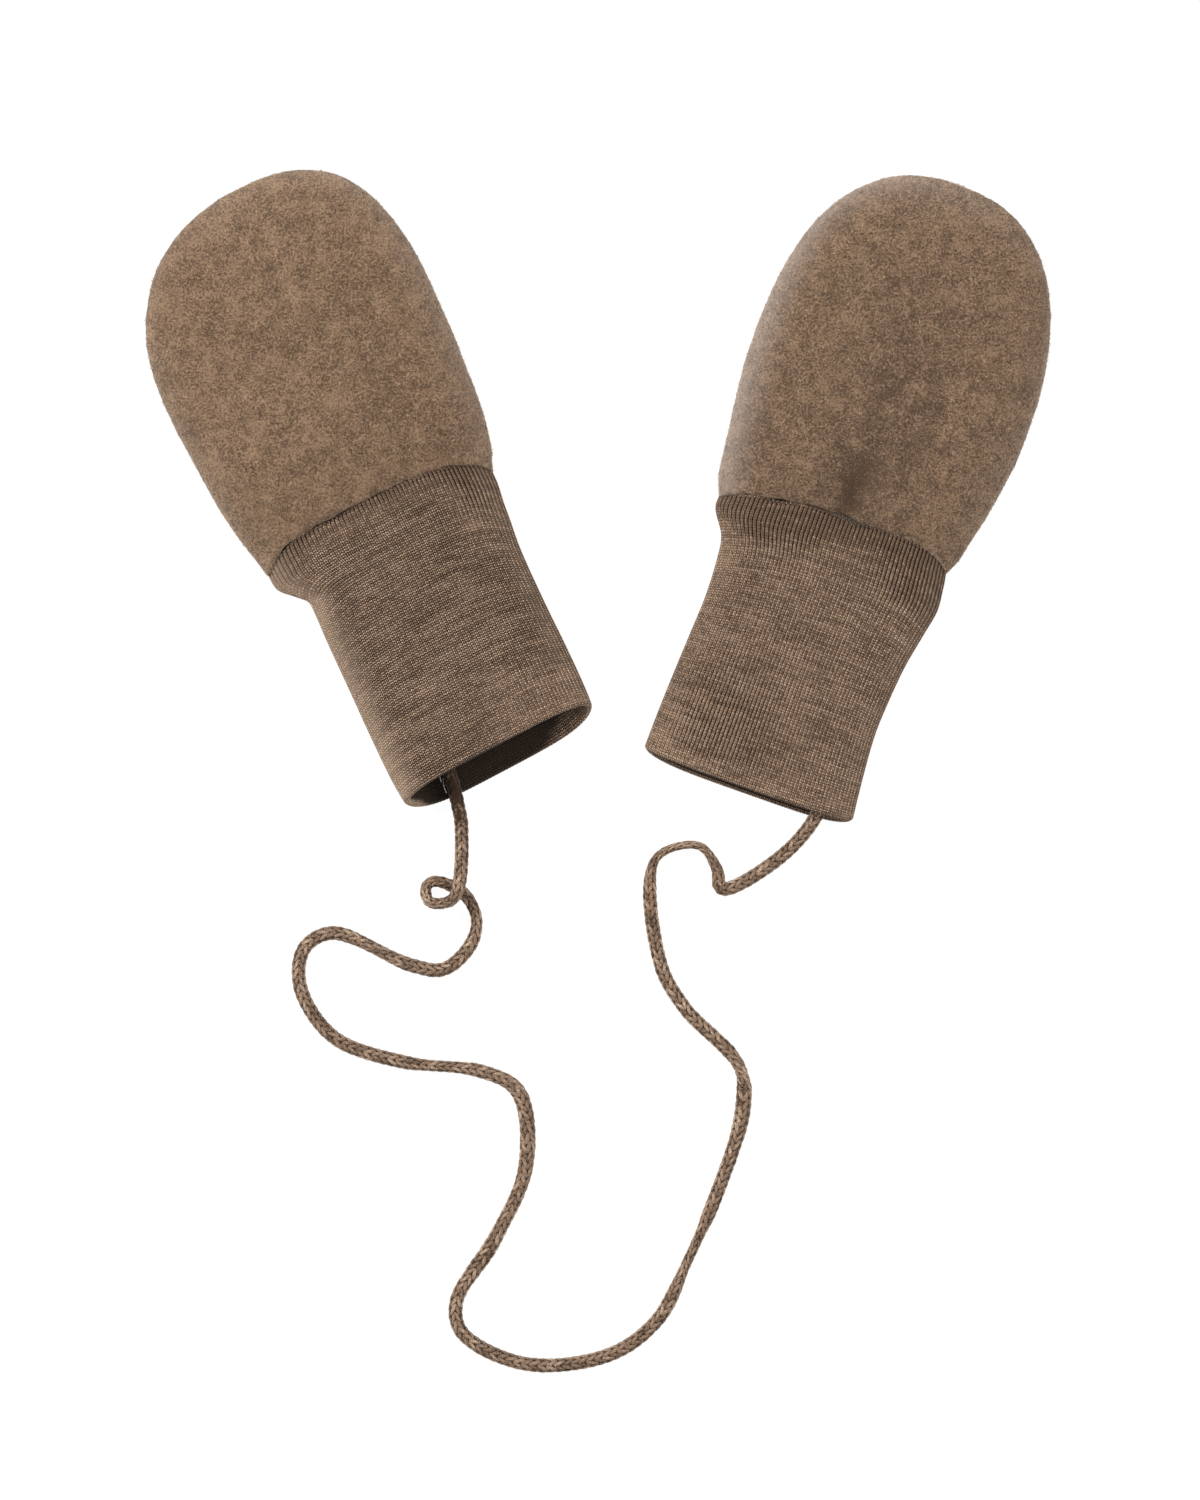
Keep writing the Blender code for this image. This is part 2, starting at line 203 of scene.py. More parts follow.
def set_values(mesh, name, values):
    """Keeps a number for each vertex, for the material to read."""
    layer = mesh.attributes.new(name, "FLOAT", "POINT")
    layer.data.foreach_set("value", np.asarray(values, np.float32).ravel())


def shape_of(piece):
    """A piece's mesh, ready to be shaped further."""
    shape = bmesh.new()
    shape.from_mesh(piece.data)
    return shape


def put_back(piece, shape):
    """Gives a piece its new shape, shaded smoothly."""
    shape.to_mesh(piece.data)
    shape.free()
    piece.data.shade_smooth()
    return piece


def to_object(name, shape):
    """Makes a new piece from a shape."""
    piece = bpy.data.objects.new(name, bpy.data.meshes.new(name))
    bpy.context.scene.collection.objects.link(piece)
    return put_back(piece, shape)


def settle_order(shape):
    """Sorts edges and faces by their vertices, because extruding leaves them in a chance order."""
    shape.verts.index_update()
    count = len(shape.verts)

    def order(item):
        numbers = [vertex.index for vertex in item.verts]
        return (max(numbers) * count + min(numbers)) * 4 * count + sum(numbers)

    shape.edges.sort(key=order)
    shape.faces.sort(key=order)


def many_copies(piece, count):
    """Turns a small shape into count copies of it in one mesh, all still in its own place."""
    array = piece.modifiers.new("copies", "ARRAY")
    array.count = count
    array.use_relative_offset = False
    array.use_constant_offset = True
    array.constant_offset_displace = (0.0, 0.0, 0.0)
    graph = bpy.context.evaluated_depsgraph_get()
    copies = bpy.data.meshes.new_from_object(piece.evaluated_get(graph))
    piece.modifiers.clear()
    piece.data = copies
    return piece


def rolled_tube(name, around, along):
    """A grid of faces, around by along, for a tube: u runs round it and v along it."""
    shape = bmesh.new()
    shape.loops.layers.uv.new("knit")
    bmesh.ops.create_grid(shape, x_segments=around, y_segments=along, size=1.0, calc_uvs=True)
    return to_object(name, shape)


def grid_steps(piece, columns, rows):
    """Column and row number of each vertex of a grid."""
    places = get_places(piece.data)
    column = np.rint((places[:, 0] + 1) / 2 * columns)
    row = np.rint((places[:, 1] + 1) / 2 * rows)
    return column.astype(int), row.astype(int)


MERGE_WITHIN = 0.01 * MM


def close_seams(piece, caps=False):
    """Joins the edges of a rolled grid that meet, closes its ends if asked, and faces it outwards."""
    shape = shape_of(piece)
    bmesh.ops.remove_doubles(shape, verts=shape.verts, dist=MERGE_WITHIN)
    if caps:
        bmesh.ops.holes_fill(shape, edges=shape.edges)
    bmesh.ops.recalc_face_normals(shape, faces=shape.faces)
    return put_back(piece, shape)


cord_line = smooth_line(CORD_ROUTE)
cord_reach = lengths_along(cord_line)
cord_end = cord_reach[-1]
cord_side, cord_up = beside_and_above(cord_line)


def lay_on_route(along, angle, radius):
    """Places on the cord from the distance along it, the angle round it and the distance out."""
    turned = np.array(angle, float)
    size = np.ones_like(turned)
    for stretch in CORD_STRETCHES:
        nearness = (along - stretch.at) / stretch.half_length
        turned = turned + stretch.half_turns * math.pi / 2 * (1 + np.tanh(nearness))
        size = size - stretch.narrow * np.exp(-nearness**4)
    along = np.clip(along, 0.0, cord_end)
    middle = read_along(cord_reach, cord_line, along)
    side = read_along(cord_reach, cord_side, along)
    up = read_along(cord_reach, cord_up, along)
    return (
        middle
        + side * (radius * CORD_FLATNESS * size * np.cos(turned))[:, None]
        + up * (radius * CORD_HIGHNESS * np.sin(turned))[:, None]
    )


core_courses = round(cord_end / CORD_COURSE)
cord_core = rolled_tube("cord_core", CORE_SIDES, core_courses)
core_column, core_row = grid_steps(cord_core, CORE_SIDES, core_courses)
core_along = core_row / core_courses * cord_end
core_angle = 2 * math.pi * core_column / CORE_SIDES
set_places(cord_core.data, lay_on_route(core_along, core_angle, np.full(len(core_row), CORE_RADIUS)))
close_seams(cord_core, caps=True)
# The core is the darkest brown, as painted shade in the gaps between the cord's legs.
set_values(cord_core.data, "shade", np.zeros(len(cord_core.data.vertices)))

# One leg of a stitch is a plump short length of yarn; two of them make the V of a knitted stitch.
# How far apart and how slanted the two lie are shares of a column's width. Painted shade darkens
# each leg towards its ends and edges, and the cord inside the mouth.
LEG_LENGTH = 0.0041
LEG_WIDTH = 0.00108
LEG_THICKNESS = 0.00062
LEG_RADIUS = 0.00148
LEG_DIVE = 0.00026
LEG_SIDES = 6
LEG_APART = 0.25
LEG_SLANT = 0.27
LEG_SEED = 5
LEG_PLUMPNESS = (0.9, 1.1)
LEG_SHIFT = 0.05 * MM
LEG_SHADE = (0.45, 0.95)
LEG_END_PAINTED_SHADE = 0.7
LEG_EDGE_PAINTED_SHADE = 0.4
MOUTH_PAINTED_SHADE = 0.6
MOUTH_PAINTED_SHADE_REACH = 0.029


def stitch_legs():
    """All the cord's stitch legs as one piece, each with its own size, shade and painted shade."""
    leg = bmesh.new()
    bmesh.ops.create_uvsphere(leg, u_segments=LEG_SIDES, v_segments=LEG_SIDES, radius=0.5)
    bmesh.ops.scale(leg, verts=leg.verts, vec=(LEG_THICKNESS, LEG_WIDTH, LEG_LENGTH))
    settle_order(leg)
    count = int((cord_end - LEG_LENGTH) / CORD_COURSE) * CORD_COLUMNS * 2
    legs = many_copies(to_object("cord_legs", leg), count)
    places = get_places(legs.data)
    number = np.repeat(np.arange(count), len(places) // count)
    course = number // (CORD_COLUMNS * 2)
    column = number // 2 % CORD_COLUMNS
    hand = np.where(number % 2 == 0, -1.0, 1.0)
    random = np.random.default_rng(LEG_SEED)
    plump = random.uniform(*LEG_PLUMPNESS, count)[number]
    shift = random.normal(0.0, LEG_SHIFT, count)[number]
    share = places[:, 2] / (LEG_LENGTH / 2)
    column_width = 2 * math.pi * LEG_RADIUS / CORD_COLUMNS
    slanted = hand * column_width * (LEG_APART + LEG_SLANT * share)
    across = slanted + places[:, 1] * plump
    out = LEG_RADIUS - LEG_DIVE * share**2 + places[:, 0] * plump
    along = LEG_LENGTH / 2 + course * CORD_COURSE + places[:, 2] + shift
    angle = math.pi / 2 + 2 * math.pi * column / CORD_COLUMNS + across / LEG_RADIUS
    set_places(legs.data, lay_on_route(along, angle, out))
    edge = places[:, 1] / (LEG_WIDTH / 2)
    shade = random.uniform(*LEG_SHADE, count)[number]
    # Painted shade: each leg darker towards its ends and edges, and the cord darker in the mouth.
    shade = shade * (1 - LEG_END_PAINTED_SHADE * share**2 - LEG_EDGE_PAINTED_SHADE * edge**2)
    painted_mouth_shade_mask = np.exp(-((along / MOUTH_PAINTED_SHADE_REACH) ** 4))
    set_values(legs.data, "shade", shade - MOUTH_PAINTED_SHADE * painted_mouth_shade_mask)
    return legs


def join(name, pieces):
    """Joins pieces into one, keeping their values."""
    shape = bmesh.new()
    for piece in pieces:
        shape.from_mesh(piece.data)
        bpy.data.objects.remove(piece)
    return to_object(name, shape)


knitted_cord = join("knitted_cord", [cord_core, stitch_legs()])


def plug_in(tree, node, inputs):
    """Fills a node's inputs, each with a plain value or with another node's output."""
    for name, value in inputs.items():
        if isinstance(value, bpy.types.NodeSocket):
            tree.links.new(value, node.inputs[name])
        else:
            node.inputs[name].default_value = value


def put_node(tree, kind, inputs, **settings):
    """Adds a node with its settings and its inputs."""
    node = tree.nodes.new(kind)
    for name, value in settings.items():
        setattr(node, name, value)
    plug_in(tree, node, inputs)
    return node


def put_math(tree, operation, *values):
    """Adds a sum, product or other such step."""
    return put_node(tree, "ShaderNodeMath", dict(enumerate(values)), operation=operation).outputs[0]


def put_range(tree, value, low, high, to_low=0.0, to_high=1.0):
    """Spreads value from low..high over to_low..to_high, softly at both ends."""
    inputs = {"Value": value, "From Min": low, "From Max": high, "To Min": to_low, "To Max": to_high}
    return put_node(tree, "ShaderNodeMapRange", inputs, interpolation_type="SMOOTHSTEP").outputs[0]


def put_mix(tree, factor, first, second):
    """Mixes two colours."""
    inputs = {0: factor, 6: first, 7: second}
    return put_node(tree, "ShaderNodeMix", inputs, data_type="RGBA").outputs[2]


def put_noise(tree, vector, scale, detail=2.0, roughness=0.6):
    """Adds soft random lumps, with finer ones in them."""
    inputs = {"Vector": vector, "Scale": scale, "Detail": detail, "Roughness": roughness}
    return put_node(tree, "ShaderNodeTexNoise", inputs).outputs["Fac"]


def put_object_places(tree):
    """Adds the places on the object, in metres."""
    return put_node(tree, "ShaderNodeTexCoord", {}).outputs["Object"]


def put_kept_value(tree, name):
    """Adds the number that the mesh keeps under a name."""
    return put_node(tree, "ShaderNodeAttribute", {}, attribute_name=name).outputs["Fac"]


def new_group(name, inputs, outputs):
    """A shader node group, with what is given to it and the node that takes its results."""
    group = bpy.data.node_groups.new(name, "ShaderNodeTree")
    for way, sockets in (("INPUT", inputs), ("OUTPUT", outputs)):
        for label, kind in sockets.items():
            group.interface.new_socket(label, in_out=way, socket_type="NodeSocket" + kind)
    return group, group.nodes.new("NodeGroupInput").outputs, group.nodes.new("NodeGroupOutput")


# How much the flecks and the clouds lighten the wool, and over which part of the depth they make
# the dark brown turn to the middle one and the middle one to the light one.
FLECK_DEPTH = 0.90
CLOUD_DEPTH = 0.32
DARK_TO_MIDDLE = (0.38, 0.60)
MIDDLE_TO_LIGHT = (0.62, 0.90)


def wool_heather_group():
    """Undyed wool: fibres of several browns spun together, in soft clouds with fine grain."""
    inputs = {
        "Vector": "Vector", "Dark": "Color", "Middle": "Color", "Light": "Color",
        "Clouds": "Float", "Flecks": "Float", "Shade": "Float",
    }
    group, given, result = new_group("wool heather", inputs, {"Color": "Color", "Fuzz": "Float"})
    clouds = put_noise(group, given["Vector"], given["Clouds"], detail=4.0)
    flecks = put_noise(group, given["Vector"], given["Flecks"], detail=3.0, roughness=0.7)
    depth = put_math(group, "MULTIPLY_ADD", flecks, FLECK_DEPTH, given["Shade"])
    depth = put_math(group, "MULTIPLY_ADD", clouds, CLOUD_DEPTH, depth)
    to_middle = put_range(group, depth, *DARK_TO_MIDDLE)
    color = put_mix(group, to_middle, given["Dark"], given["Middle"])
    color = put_mix(group, put_range(group, depth, *MIDDLE_TO_LIGHT), color, given["Light"])
    plug_in(group, result, {"Color": color, "Fuzz": flecks})
    return group


wool_heather = wool_heather_group()


def new_material(name):
    """A new material, its node tree and its Principled shader."""
    material = bpy.data.materials.new(name)
    material.use_nodes = True
    return material, material.node_tree, material.node_tree.nodes["Principled BSDF"]


# A yarn's clouds and flecks are their number to the metre, its grain is how far its fibres stand
# out, and its fuzz is the haze of fibre ends. The higher its shade, the lighter it is; own_shade
# says how much of the mesh's own shade is added.
Browns = namedtuple("Browns", "dark middle light")
Yarn = namedtuple("Yarn", "clouds flecks shade own_shade grain roughness fuzz fuzz_color")
WOOL_SHINE = 0.15
FUZZ_SPREAD = 0.55
CORD_BROWNS = Browns(
    dark=(0.035, 0.017, 0.008, 1.0), middle=(0.240, 0.156, 0.104, 1.0), light=(0.56, 0.42, 0.31, 1.0)
)
CORD_YARN = Yarn(
    clouds=260.0, flecks=2600.0, shade=-0.35, own_shade=0.60, grain=0.12 * MM, roughness=0.85,
    fuzz=0.25, fuzz_color=(0.75, 0.66, 0.56, 1.0),
)


def put_own_shade(tree, yarn):
    """Adds a yarn's shade together with the mesh's own."""
    return put_math(tree, "MULTIPLY_ADD", put_kept_value(tree, "shade"), yarn.own_shade, yarn.shade)


def put_heather(tree, browns, yarn, shade):
    """Adds the heather group with a yarn's own three browns, clouds and flecks."""
    inputs = {
        "Vector": put_object_places(tree), "Dark": browns.dark, "Middle": browns.middle,
        "Light": browns.light, "Clouds": yarn.clouds, "Flecks": yarn.flecks, "Shade": shade,
    }
    return put_node(tree, "ShaderNodeGroup", inputs, node_tree=wool_heather).outputs


def give_yarn_shader(tree, shader, color, height, yarn):
    """Soft matt yarn: no shine, and a light haze of fibre ends at grazing angles."""
    bump = put_node(tree, "ShaderNodeBump", {"Height": height, "Distance": yarn.grain, "Strength": 1.0})
    plug_in(tree, shader, {
        "Base Color": color, "Roughness": yarn.roughness, "Specular IOR Level": WOOL_SHINE,
        "Sheen Weight": yarn.fuzz, "Sheen Roughness": FUZZ_SPREAD, "Sheen Tint": yarn.fuzz_color,
        "Normal": bump.outputs["Normal"],
    })


def cord_material():
    """Smooth wool yarn: each leg has its own brown, with fine fibres running every way."""
    material, tree, shader = new_material("cord yarn")
    heather = put_heather(tree, CORD_BROWNS, CORD_YARN, put_own_shade(tree, CORD_YARN))
    give_yarn_shader(tree, shader, heather["Color"], heather["Fuzz"], CORD_YARN)
    return material


knitted_cord.data.materials.append(cord_material())

# Two ends of the thread that the cord is sewn in with stick out beside it in the left mouth.
THREAD_RADIUS = 0.00014
THREAD_SIDES = 6
THREAD_STEPS = 24
THREAD_ENDS = (
    (
        (-0.0420, -0.0670, 0.0048),
        (-0.0407, -0.0700, 0.0060),
        (-0.0403, -0.0720, 0.0064),
        (-0.0400, -0.0729, 0.0058),
    ),
    (
        (-0.0388, -0.0690, 0.0030),
        (-0.0396, -0.0722, 0.0038),
        (-0.0393, -0.0742, 0.0058),
        (-0.0387, -0.0758, 0.0056),
    ),
)
THREAD_COLOR = (0.34, 0.30, 0.28, 1.0)
THREAD_SHADOW = (0.17, 0.15, 0.14, 1.0)
SHADOW_BETWEEN_PLIES = (0.35, 0.60)
THREAD_YARN = CORD_YARN._replace(
    flecks=2400.0, grain=0.05 * MM, roughness=0.75, fuzz=0.1, fuzz_color=THREAD_COLOR
)


def thread_end(number, route):
    """A short round thread along a route."""
    line = smooth_line(route)
    reach = lengths_along(line)
    side, up = beside_and_above(line)
    thread = rolled_tube(f"thread_end_{number}", THREAD_SIDES, THREAD_STEPS)
    column, row = grid_steps(thread, THREAD_SIDES, THREAD_STEPS)
    along = row / THREAD_STEPS * reach[-1]
    turn = 2 * math.pi * column / THREAD_SIDES
    around = (
        read_along(reach, side, along) * np.cos(turn)[:, None]
        + read_along(reach, up, along) * np.sin(turn)[:, None]
    )
    set_places(thread.data, read_along(reach, line, along) + around * THREAD_RADIUS)
    return close_seams(thread, caps=True)


def thread_material():
    """Pale cotton sewing thread, with the twist of its plies as fine darker bands."""
    material, tree, shader = new_material("sewing thread")
    plies = put_noise(tree, put_object_places(tree), THREAD_YARN.flecks)
    light = put_range(tree, plies, *SHADOW_BETWEEN_PLIES)
    color = put_mix(tree, light, THREAD_SHADOW, THREAD_COLOR)
    give_yarn_shader(tree, shader, color, plies, THREAD_YARN)
    return material


sewing_thread = join("sewing_thread", [thread_end(n, route) for n, route in enumerate(THREAD_ENDS)])
sewing_thread.data.materials.append(thread_material())
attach(sewing_thread, "root")
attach(knitted_cord, "root")
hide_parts("cord")

# ---- The mittens' cut ---------------------------------------------------------------------------
# Each mitten is drawn in its own plan, in mm: x across, y along from the middle of the wrist seam
# with the tip positive, z up. It is then turned by its lean and put in its place.
Corner = namedtuple("Corner", "across along power")
Edge = namedtuple("Edge", "along left right")
Section = namedtuple("Section", "along left right height")
Crease = namedtuple("Crease", "across along half_width half_length depth turn")
# A mouth's ends and slants, in mm, and how far in from its edge, and further at its left and right
# corners, the inside stays clear of painted shade.
Mouth = namedtuple("Mouth", "left right upper lower lit_edge lit_left lit_right")
# The strength of the painted light along a mitten's left and right rims.
Haze = namedtuple("Haze", "left right")
Mitten = namedtuple(
    "Mitten",
    "name place lean wrist_left wrist_right hand_edges tip tip_across cuff mouth hand_creases "
    "back_creases cuff_creases rib_pulls seam_gapes rim_haze cuff_haze",
)

LEFT_MITTEN = Mitten(
    name="left",
    place=(-57.4, -0.2),
    lean=25.5,
    wrist_left=Corner(across=-33.0, along=-6.0, power=5.0),
    wrist_right=Corner(across=30.4, along=-6.5, power=4.3),
    hand_edges=table(
        Edge,
        (-1.8, -34.3, 32.8),
        (2.0, -35.2, 33.9),
        (9.0, -36.3, 35.1),
        (20.0, -37.3, 35.9),
        (31.0, -37.9, 36.5),
        (42.0, -38.2, 36.8),
    ),
    tip=85.7,
    tip_across=3.9,
    cuff=table(
        Section,
        (-76.0, -26.2, 27.2, 13.0),
        (-68.0, -26.9, 27.9, 12.4),
        (-56.0, -27.0, 28.1, 11.6),
        (-43.0, -26.8, 28.0, 11.0),
        (-28.0, -26.6, 28.3, 10.6),
        (-19.5, -26.3, 29.2, 10.7),
        (-17.0, -26.6, 29.4, 10.8),
        (-14.5, -29.0, 29.7, 10.9),
        (-11.0, -32.3, 30.2, 11.2),
        (-6.0, -33.0, 30.4, 11.5),
    ),
    mouth=Mouth(
        left=-74.4, right=-72.2, upper=2.3, lower=-4.2, lit_edge=0.4, lit_left=2.8, lit_right=9.0
    ),
    hand_creases=table(
        Crease,
        (19.0, 38.0, 9.0, 30.0, 0.5, 0.0),
        (-12.0, 48.0, 9.0, 16.0, 0.25, 20.0),
        (14.0, 22.0, 7.0, 13.0, 0.25, -35.0),
    ),
    back_creases=table(
        Crease,
        (8.0, 4.0, 4.0, 9.0, 1.0, 6.0),
        (-16.0, 12.0, 5.0, 12.0, 0.6, -25.0),
    ),
    cuff_creases=table(
        Crease,
        (-25.5, -46.0, 4.5, 26.0, 1.5, 0.0),
        (-22.0, -17.5, 1.6, 8.0, 0.9, 82.0),
        (6.0, -27.0, 2.2, 14.0, 0.35, 76.0),
        (-8.0, -46.0, 2.4, 15.0, 0.3, 98.0),
    ),
    rib_pulls=table(
        Crease,
        (25.0, -11.0, 8.0, 10.0, 1.0, 0.0),
        (-28.0, -9.0, 7.0, 7.0, 0.8, 0.0),
        (16.0, -66.0, 14.0, 9.0, 0.6, 0.0),
    ),
    seam_gapes=table(
        Crease,
        (-12.0, 0.0, 5.0, 9.0, 2.4, 0.0),
        (12.0, 0.0, 6.0, 9.0, -0.7, 0.0),
    ),
    rim_haze=Haze(left=0.025, right=0.06),
    cuff_haze=Haze(left=0.25, right=0.08),
)

RIGHT_MITTEN = Mitten(
    name="right",
    place=(62.7, -5.1),
    lean=-19.5,
    wrist_left=Corner(across=-31.8, along=-4.9, power=2.2),
    wrist_right=Corner(across=29.6, along=-4.9, power=6.0),
    hand_edges=table(
        Edge,
        (-1.4, -33.6, 31.6),
        (4.0, -34.5, 32.8),
        (10.0, -35.2, 34.2),
        (20.0, -36.4, 36.0),
        (28.0, -37.3, 37.1),
        (34.0, -37.3, 37.4),
    ),
    tip=89.3,
    tip_across=-0.6,
    cuff=table(
        Section,
        (-76.0, -28.4, 28.5, 9.5),
        (-72.0, -28.3, 28.1, 9.4),
        (-61.0, -28.0, 27.0, 9.5),
        (-50.0, -27.5, 26.3, 9.7),
        (-41.0, -27.0, 26.7, 9.9),
        (-31.0, -26.5, 27.7, 10.2),
        (-21.0, -26.9, 29.6, 10.6),
        (-15.0, -27.9, 30.7, 10.9),
        (-9.0, -31.6, 30.2, 11.3),
        (-4.9, -31.8, 29.6, 11.5),
    ),
    mouth=Mouth(
        left=-72.6, right=-72.6, upper=-1.2, lower=-2.6, lit_edge=2.2, lit_left=1.0, lit_right=1.0
    ),
    hand_creases=table(
        Crease,
        (0.5, 5.5, 3.6, 9.0, 2.6, 0.0),
        (4.0, 30.0, 14.0, 32.0, 1.3, 0.0),
        (-5.5, 15.0, 2.2, 9.0, 0.55, 28.0),
        (8.5, 14.0, 2.2, 8.0, 0.45, -32.0),
        (-35.0, 26.0, 7.0, 26.0, 1.3, 0.0),
        (-25.0, 20.0, 2.5, 17.0, 0.5, -8.0),
    ),
    back_creases=table(
        Crease,
        (-6.0, 5.0, 4.5, 10.0, 1.2, -8.0),
        (18.0, 14.0, 5.0, 11.0, 0.6, 30.0),
    ),
    cuff_creases=table(
        Crease,
        (-27.5, -46.0, 3.0, 26.0, 1.0, 0.0),
        (22.0, -23.0, 2.0, 9.0, 0.7, 70.0),
        (-10.0, -30.0, 2.2, 13.0, 0.3, 80.0),
    ),
    rib_pulls=table(
        Crease,
        (-13.0, -60.0, 14.0, 15.0, 0.5, 0.0),
        (23.0, -10.5, 9.0, 7.0, 1.0, 0.0),
        (-16.0, -7.0, 11.0, 8.0, 1.0, 0.0),
        (0.0, -45.0, 60.0, 80.0, 0.6, 0.0),
    ),
    seam_gapes=table(
        Crease,
        (2.0, 0.0, 5.5, 9.0, 3.4, 0.0),
        (-17.0, 0.0, 3.5, 9.0, 2.0, 0.0),
        (-26.0, 0.0, 4.0, 9.0, -0.8, 0.0),
    ),
    rim_haze=Haze(left=0.22, right=0.03),
    cuff_haze=Haze(left=0.03, right=0.075),
)
MITTENS = (LEFT_MITTEN, RIGHT_MITTEN)

SEAM_GAP = 0.3
SEAM_STRIP = 0.8
HAND_HEIGHT = 16.5
HAND_SEAM_HEIGHT = 6.4
WRIST_HEIGHT = 11.5
SHOULDER_LENGTH = 24.0
SHOULDER_POWER = 2
TOP_POWER = 4
CUFF_TOP_POWER = 2.8
UNDERSIDE_POWER = 6
UNDERSIDE_FLATNESS = 1.06
TIP_POWER = 2.4
TIP_CORNER = 0.68
TIP_SAMPLES = 40
LOWEST_CLOTH = 0.05
NOISE_STEPS = (3.1, 5.7, 7.3)


def read_table(rows, column, along):
    """Values of a table's column at distances along, on a smooth curve through its rows."""
    places = np.array([row.along for row in rows])
    values = np.array([getattr(row, column) for row in rows])
    slopes = np.concatenate([
        np.diff(values[:2]) / np.diff(places[:2]),
        (values[2:] - values[:-2]) / (places[2:] - places[:-2]),
        np.diff(values[-2:]) / np.diff(places[-2:]),
    ])
    along = np.clip(along, places[0], places[-1])
    i = np.clip(np.searchsorted(places, along, side="right") - 1, 0, len(places) - 2)
    span = places[i + 1] - places[i]
    t = (along - places[i]) / span
    return smooth_between(t, values[i], values[i + 1], slopes[i] * span, slopes[i + 1] * span)


def rounded(position, power):
    """Height of a rounded edge: 1 in the middle, 0 at position -1 and 1."""
    return np.sqrt(np.maximum(0.0, 1.0 - np.abs(position) ** power))


def underside(lift):
    """Share of the way down to the surface: 1 where the cloth lies flat on it."""
    return np.minimum(1.0, UNDERSIDE_FLATNESS * lift)


def crease_depth(creases, across, along):
    """How far the creases press the cloth in at a place; each is a soft trough, turned in plan."""
    depth = np.zeros_like(across)
    for crease in creases:
        turn = math.radians(crease.turn)
        dx, dy = across - crease.across, along - crease.along
        wide = (dx * math.cos(turn) + dy * math.sin(turn)) / crease.half_width
        long = (dy * math.cos(turn) - dx * math.sin(turn)) / crease.half_length
        depth = depth + crease.depth * np.exp(-wide**2 - long**2)
    return depth


def wrist_seam(mitten, position):
    """Where the wrist seam runs, from position -1 at its left corner to 1 at its right corner."""
    left, right = mitten.wrist_left, mitten.wrist_right
    across = left.across + (right.across - left.across) * (position + 1) / 2
    reach = np.where(position < 0, left.along, right.along)
    power = np.where(position < 0, left.power, right.power)
    return across, reach * np.abs(position) ** power


def put_in_place(mitten, across, along, height):
    """Turns a place in the mitten's own plan, in mm, into a place in the room, in metres."""
    lean = math.radians(mitten.lean)
    x = mitten.place[0] + across * math.cos(lean) - along * math.sin(lean)
    y = mitten.place[1] + across * math.sin(lean) + along * math.cos(lean)
    return np.stack([x, y, height], axis=-1) * MM


def soft_noise(places, size, seed):
    """Smooth noise from about -1 to 1 at places in metres, with lumps of a size in mm."""
    shift = Vector([seed * step for step in NOISE_STEPS])
    scale = 1 / (size * MM)
    return np.array([noise.noise(Vector(place) * scale + shift) for place in places])


# ---- Fleece hands -------------------------------------------------------------------------------
# Front and back panels of brushed wool fleece, sewn right sides together round the sides and the
# tip and turned, so that the edge rolls in at the seam. The wrist edge rolls over the cuff's.
FLEECE_WALL = 2.2
PANEL_ACROSS = 110
PANEL_ALONG = 90
ROWS_TO_WRIST = 1.3
PANEL_MIDDLE = 38.0
Tuck = namedtuple("Tuck", "down inwards")
SIDE_TUCKS = (Tuck(down=0.5, inwards=0.0), Tuck(down=0.40, inwards=0.9))
EDGE_ROLL = 1.3
ROLL_SHARE = 0.020
EDGE_OVERHANG = 0.9
OVERHANG_SHARE = 0.08
EDGE_RAGGED = 0.6
RAGGED_SIZE = 3.0
RAGGED_SEED = 21
# Where the painted rim light starts and is full, and how it follows the rim round the tip.
PAINTED_LIGHT_START = 0.14
PAINTED_LIGHT_FULL = 0.50
PAINTED_LIGHT_TIP_POWER = 9
NAP_DEPTH = 0.25
Lumps = namedtuple("Lumps", "size depth")
FLEECE_LUMPS = (Lumps(size=16.0, depth=0.25), Lumps(size=6.0, depth=0.12), Lumps(size=2.4, depth=0.07))


def hand_side(mitten, side):
    """Plan outline of one side of the hand, from the wrist seam's corner to the tip."""
    corner = mitten.wrist_left if side == "left" else mitten.wrist_right
    turns = [(corner.across, corner.along)]
    turns += [(getattr(edge, side), edge.along) for edge in mitten.hand_edges]
    start = mitten.hand_edges[-1]
    middle = (start.left + start.right) / 2
    half_width = getattr(start, side) - middle
    angle = np.linspace(0.0, math.pi / 2, TIP_SAMPLES + 1)[1:]
    rise = np.sin(angle) ** (2 / TIP_POWER)
    across = middle + (mitten.tip_across - middle) * rise**2
    across = across + half_width * np.abs(np.cos(angle)) ** (2 / TIP_POWER)
    tip = np.stack([across, start.along + (mitten.tip - start.along) * rise], axis=-1)
    return np.concatenate([smooth_line(turns), tip])


def point_on(path, fraction):
    """Points at fractions of a path's length."""
    reach = lengths_along(path)
    return read_along(reach, path, np.clip(fraction, 0.0, 1.0) * reach[-1])


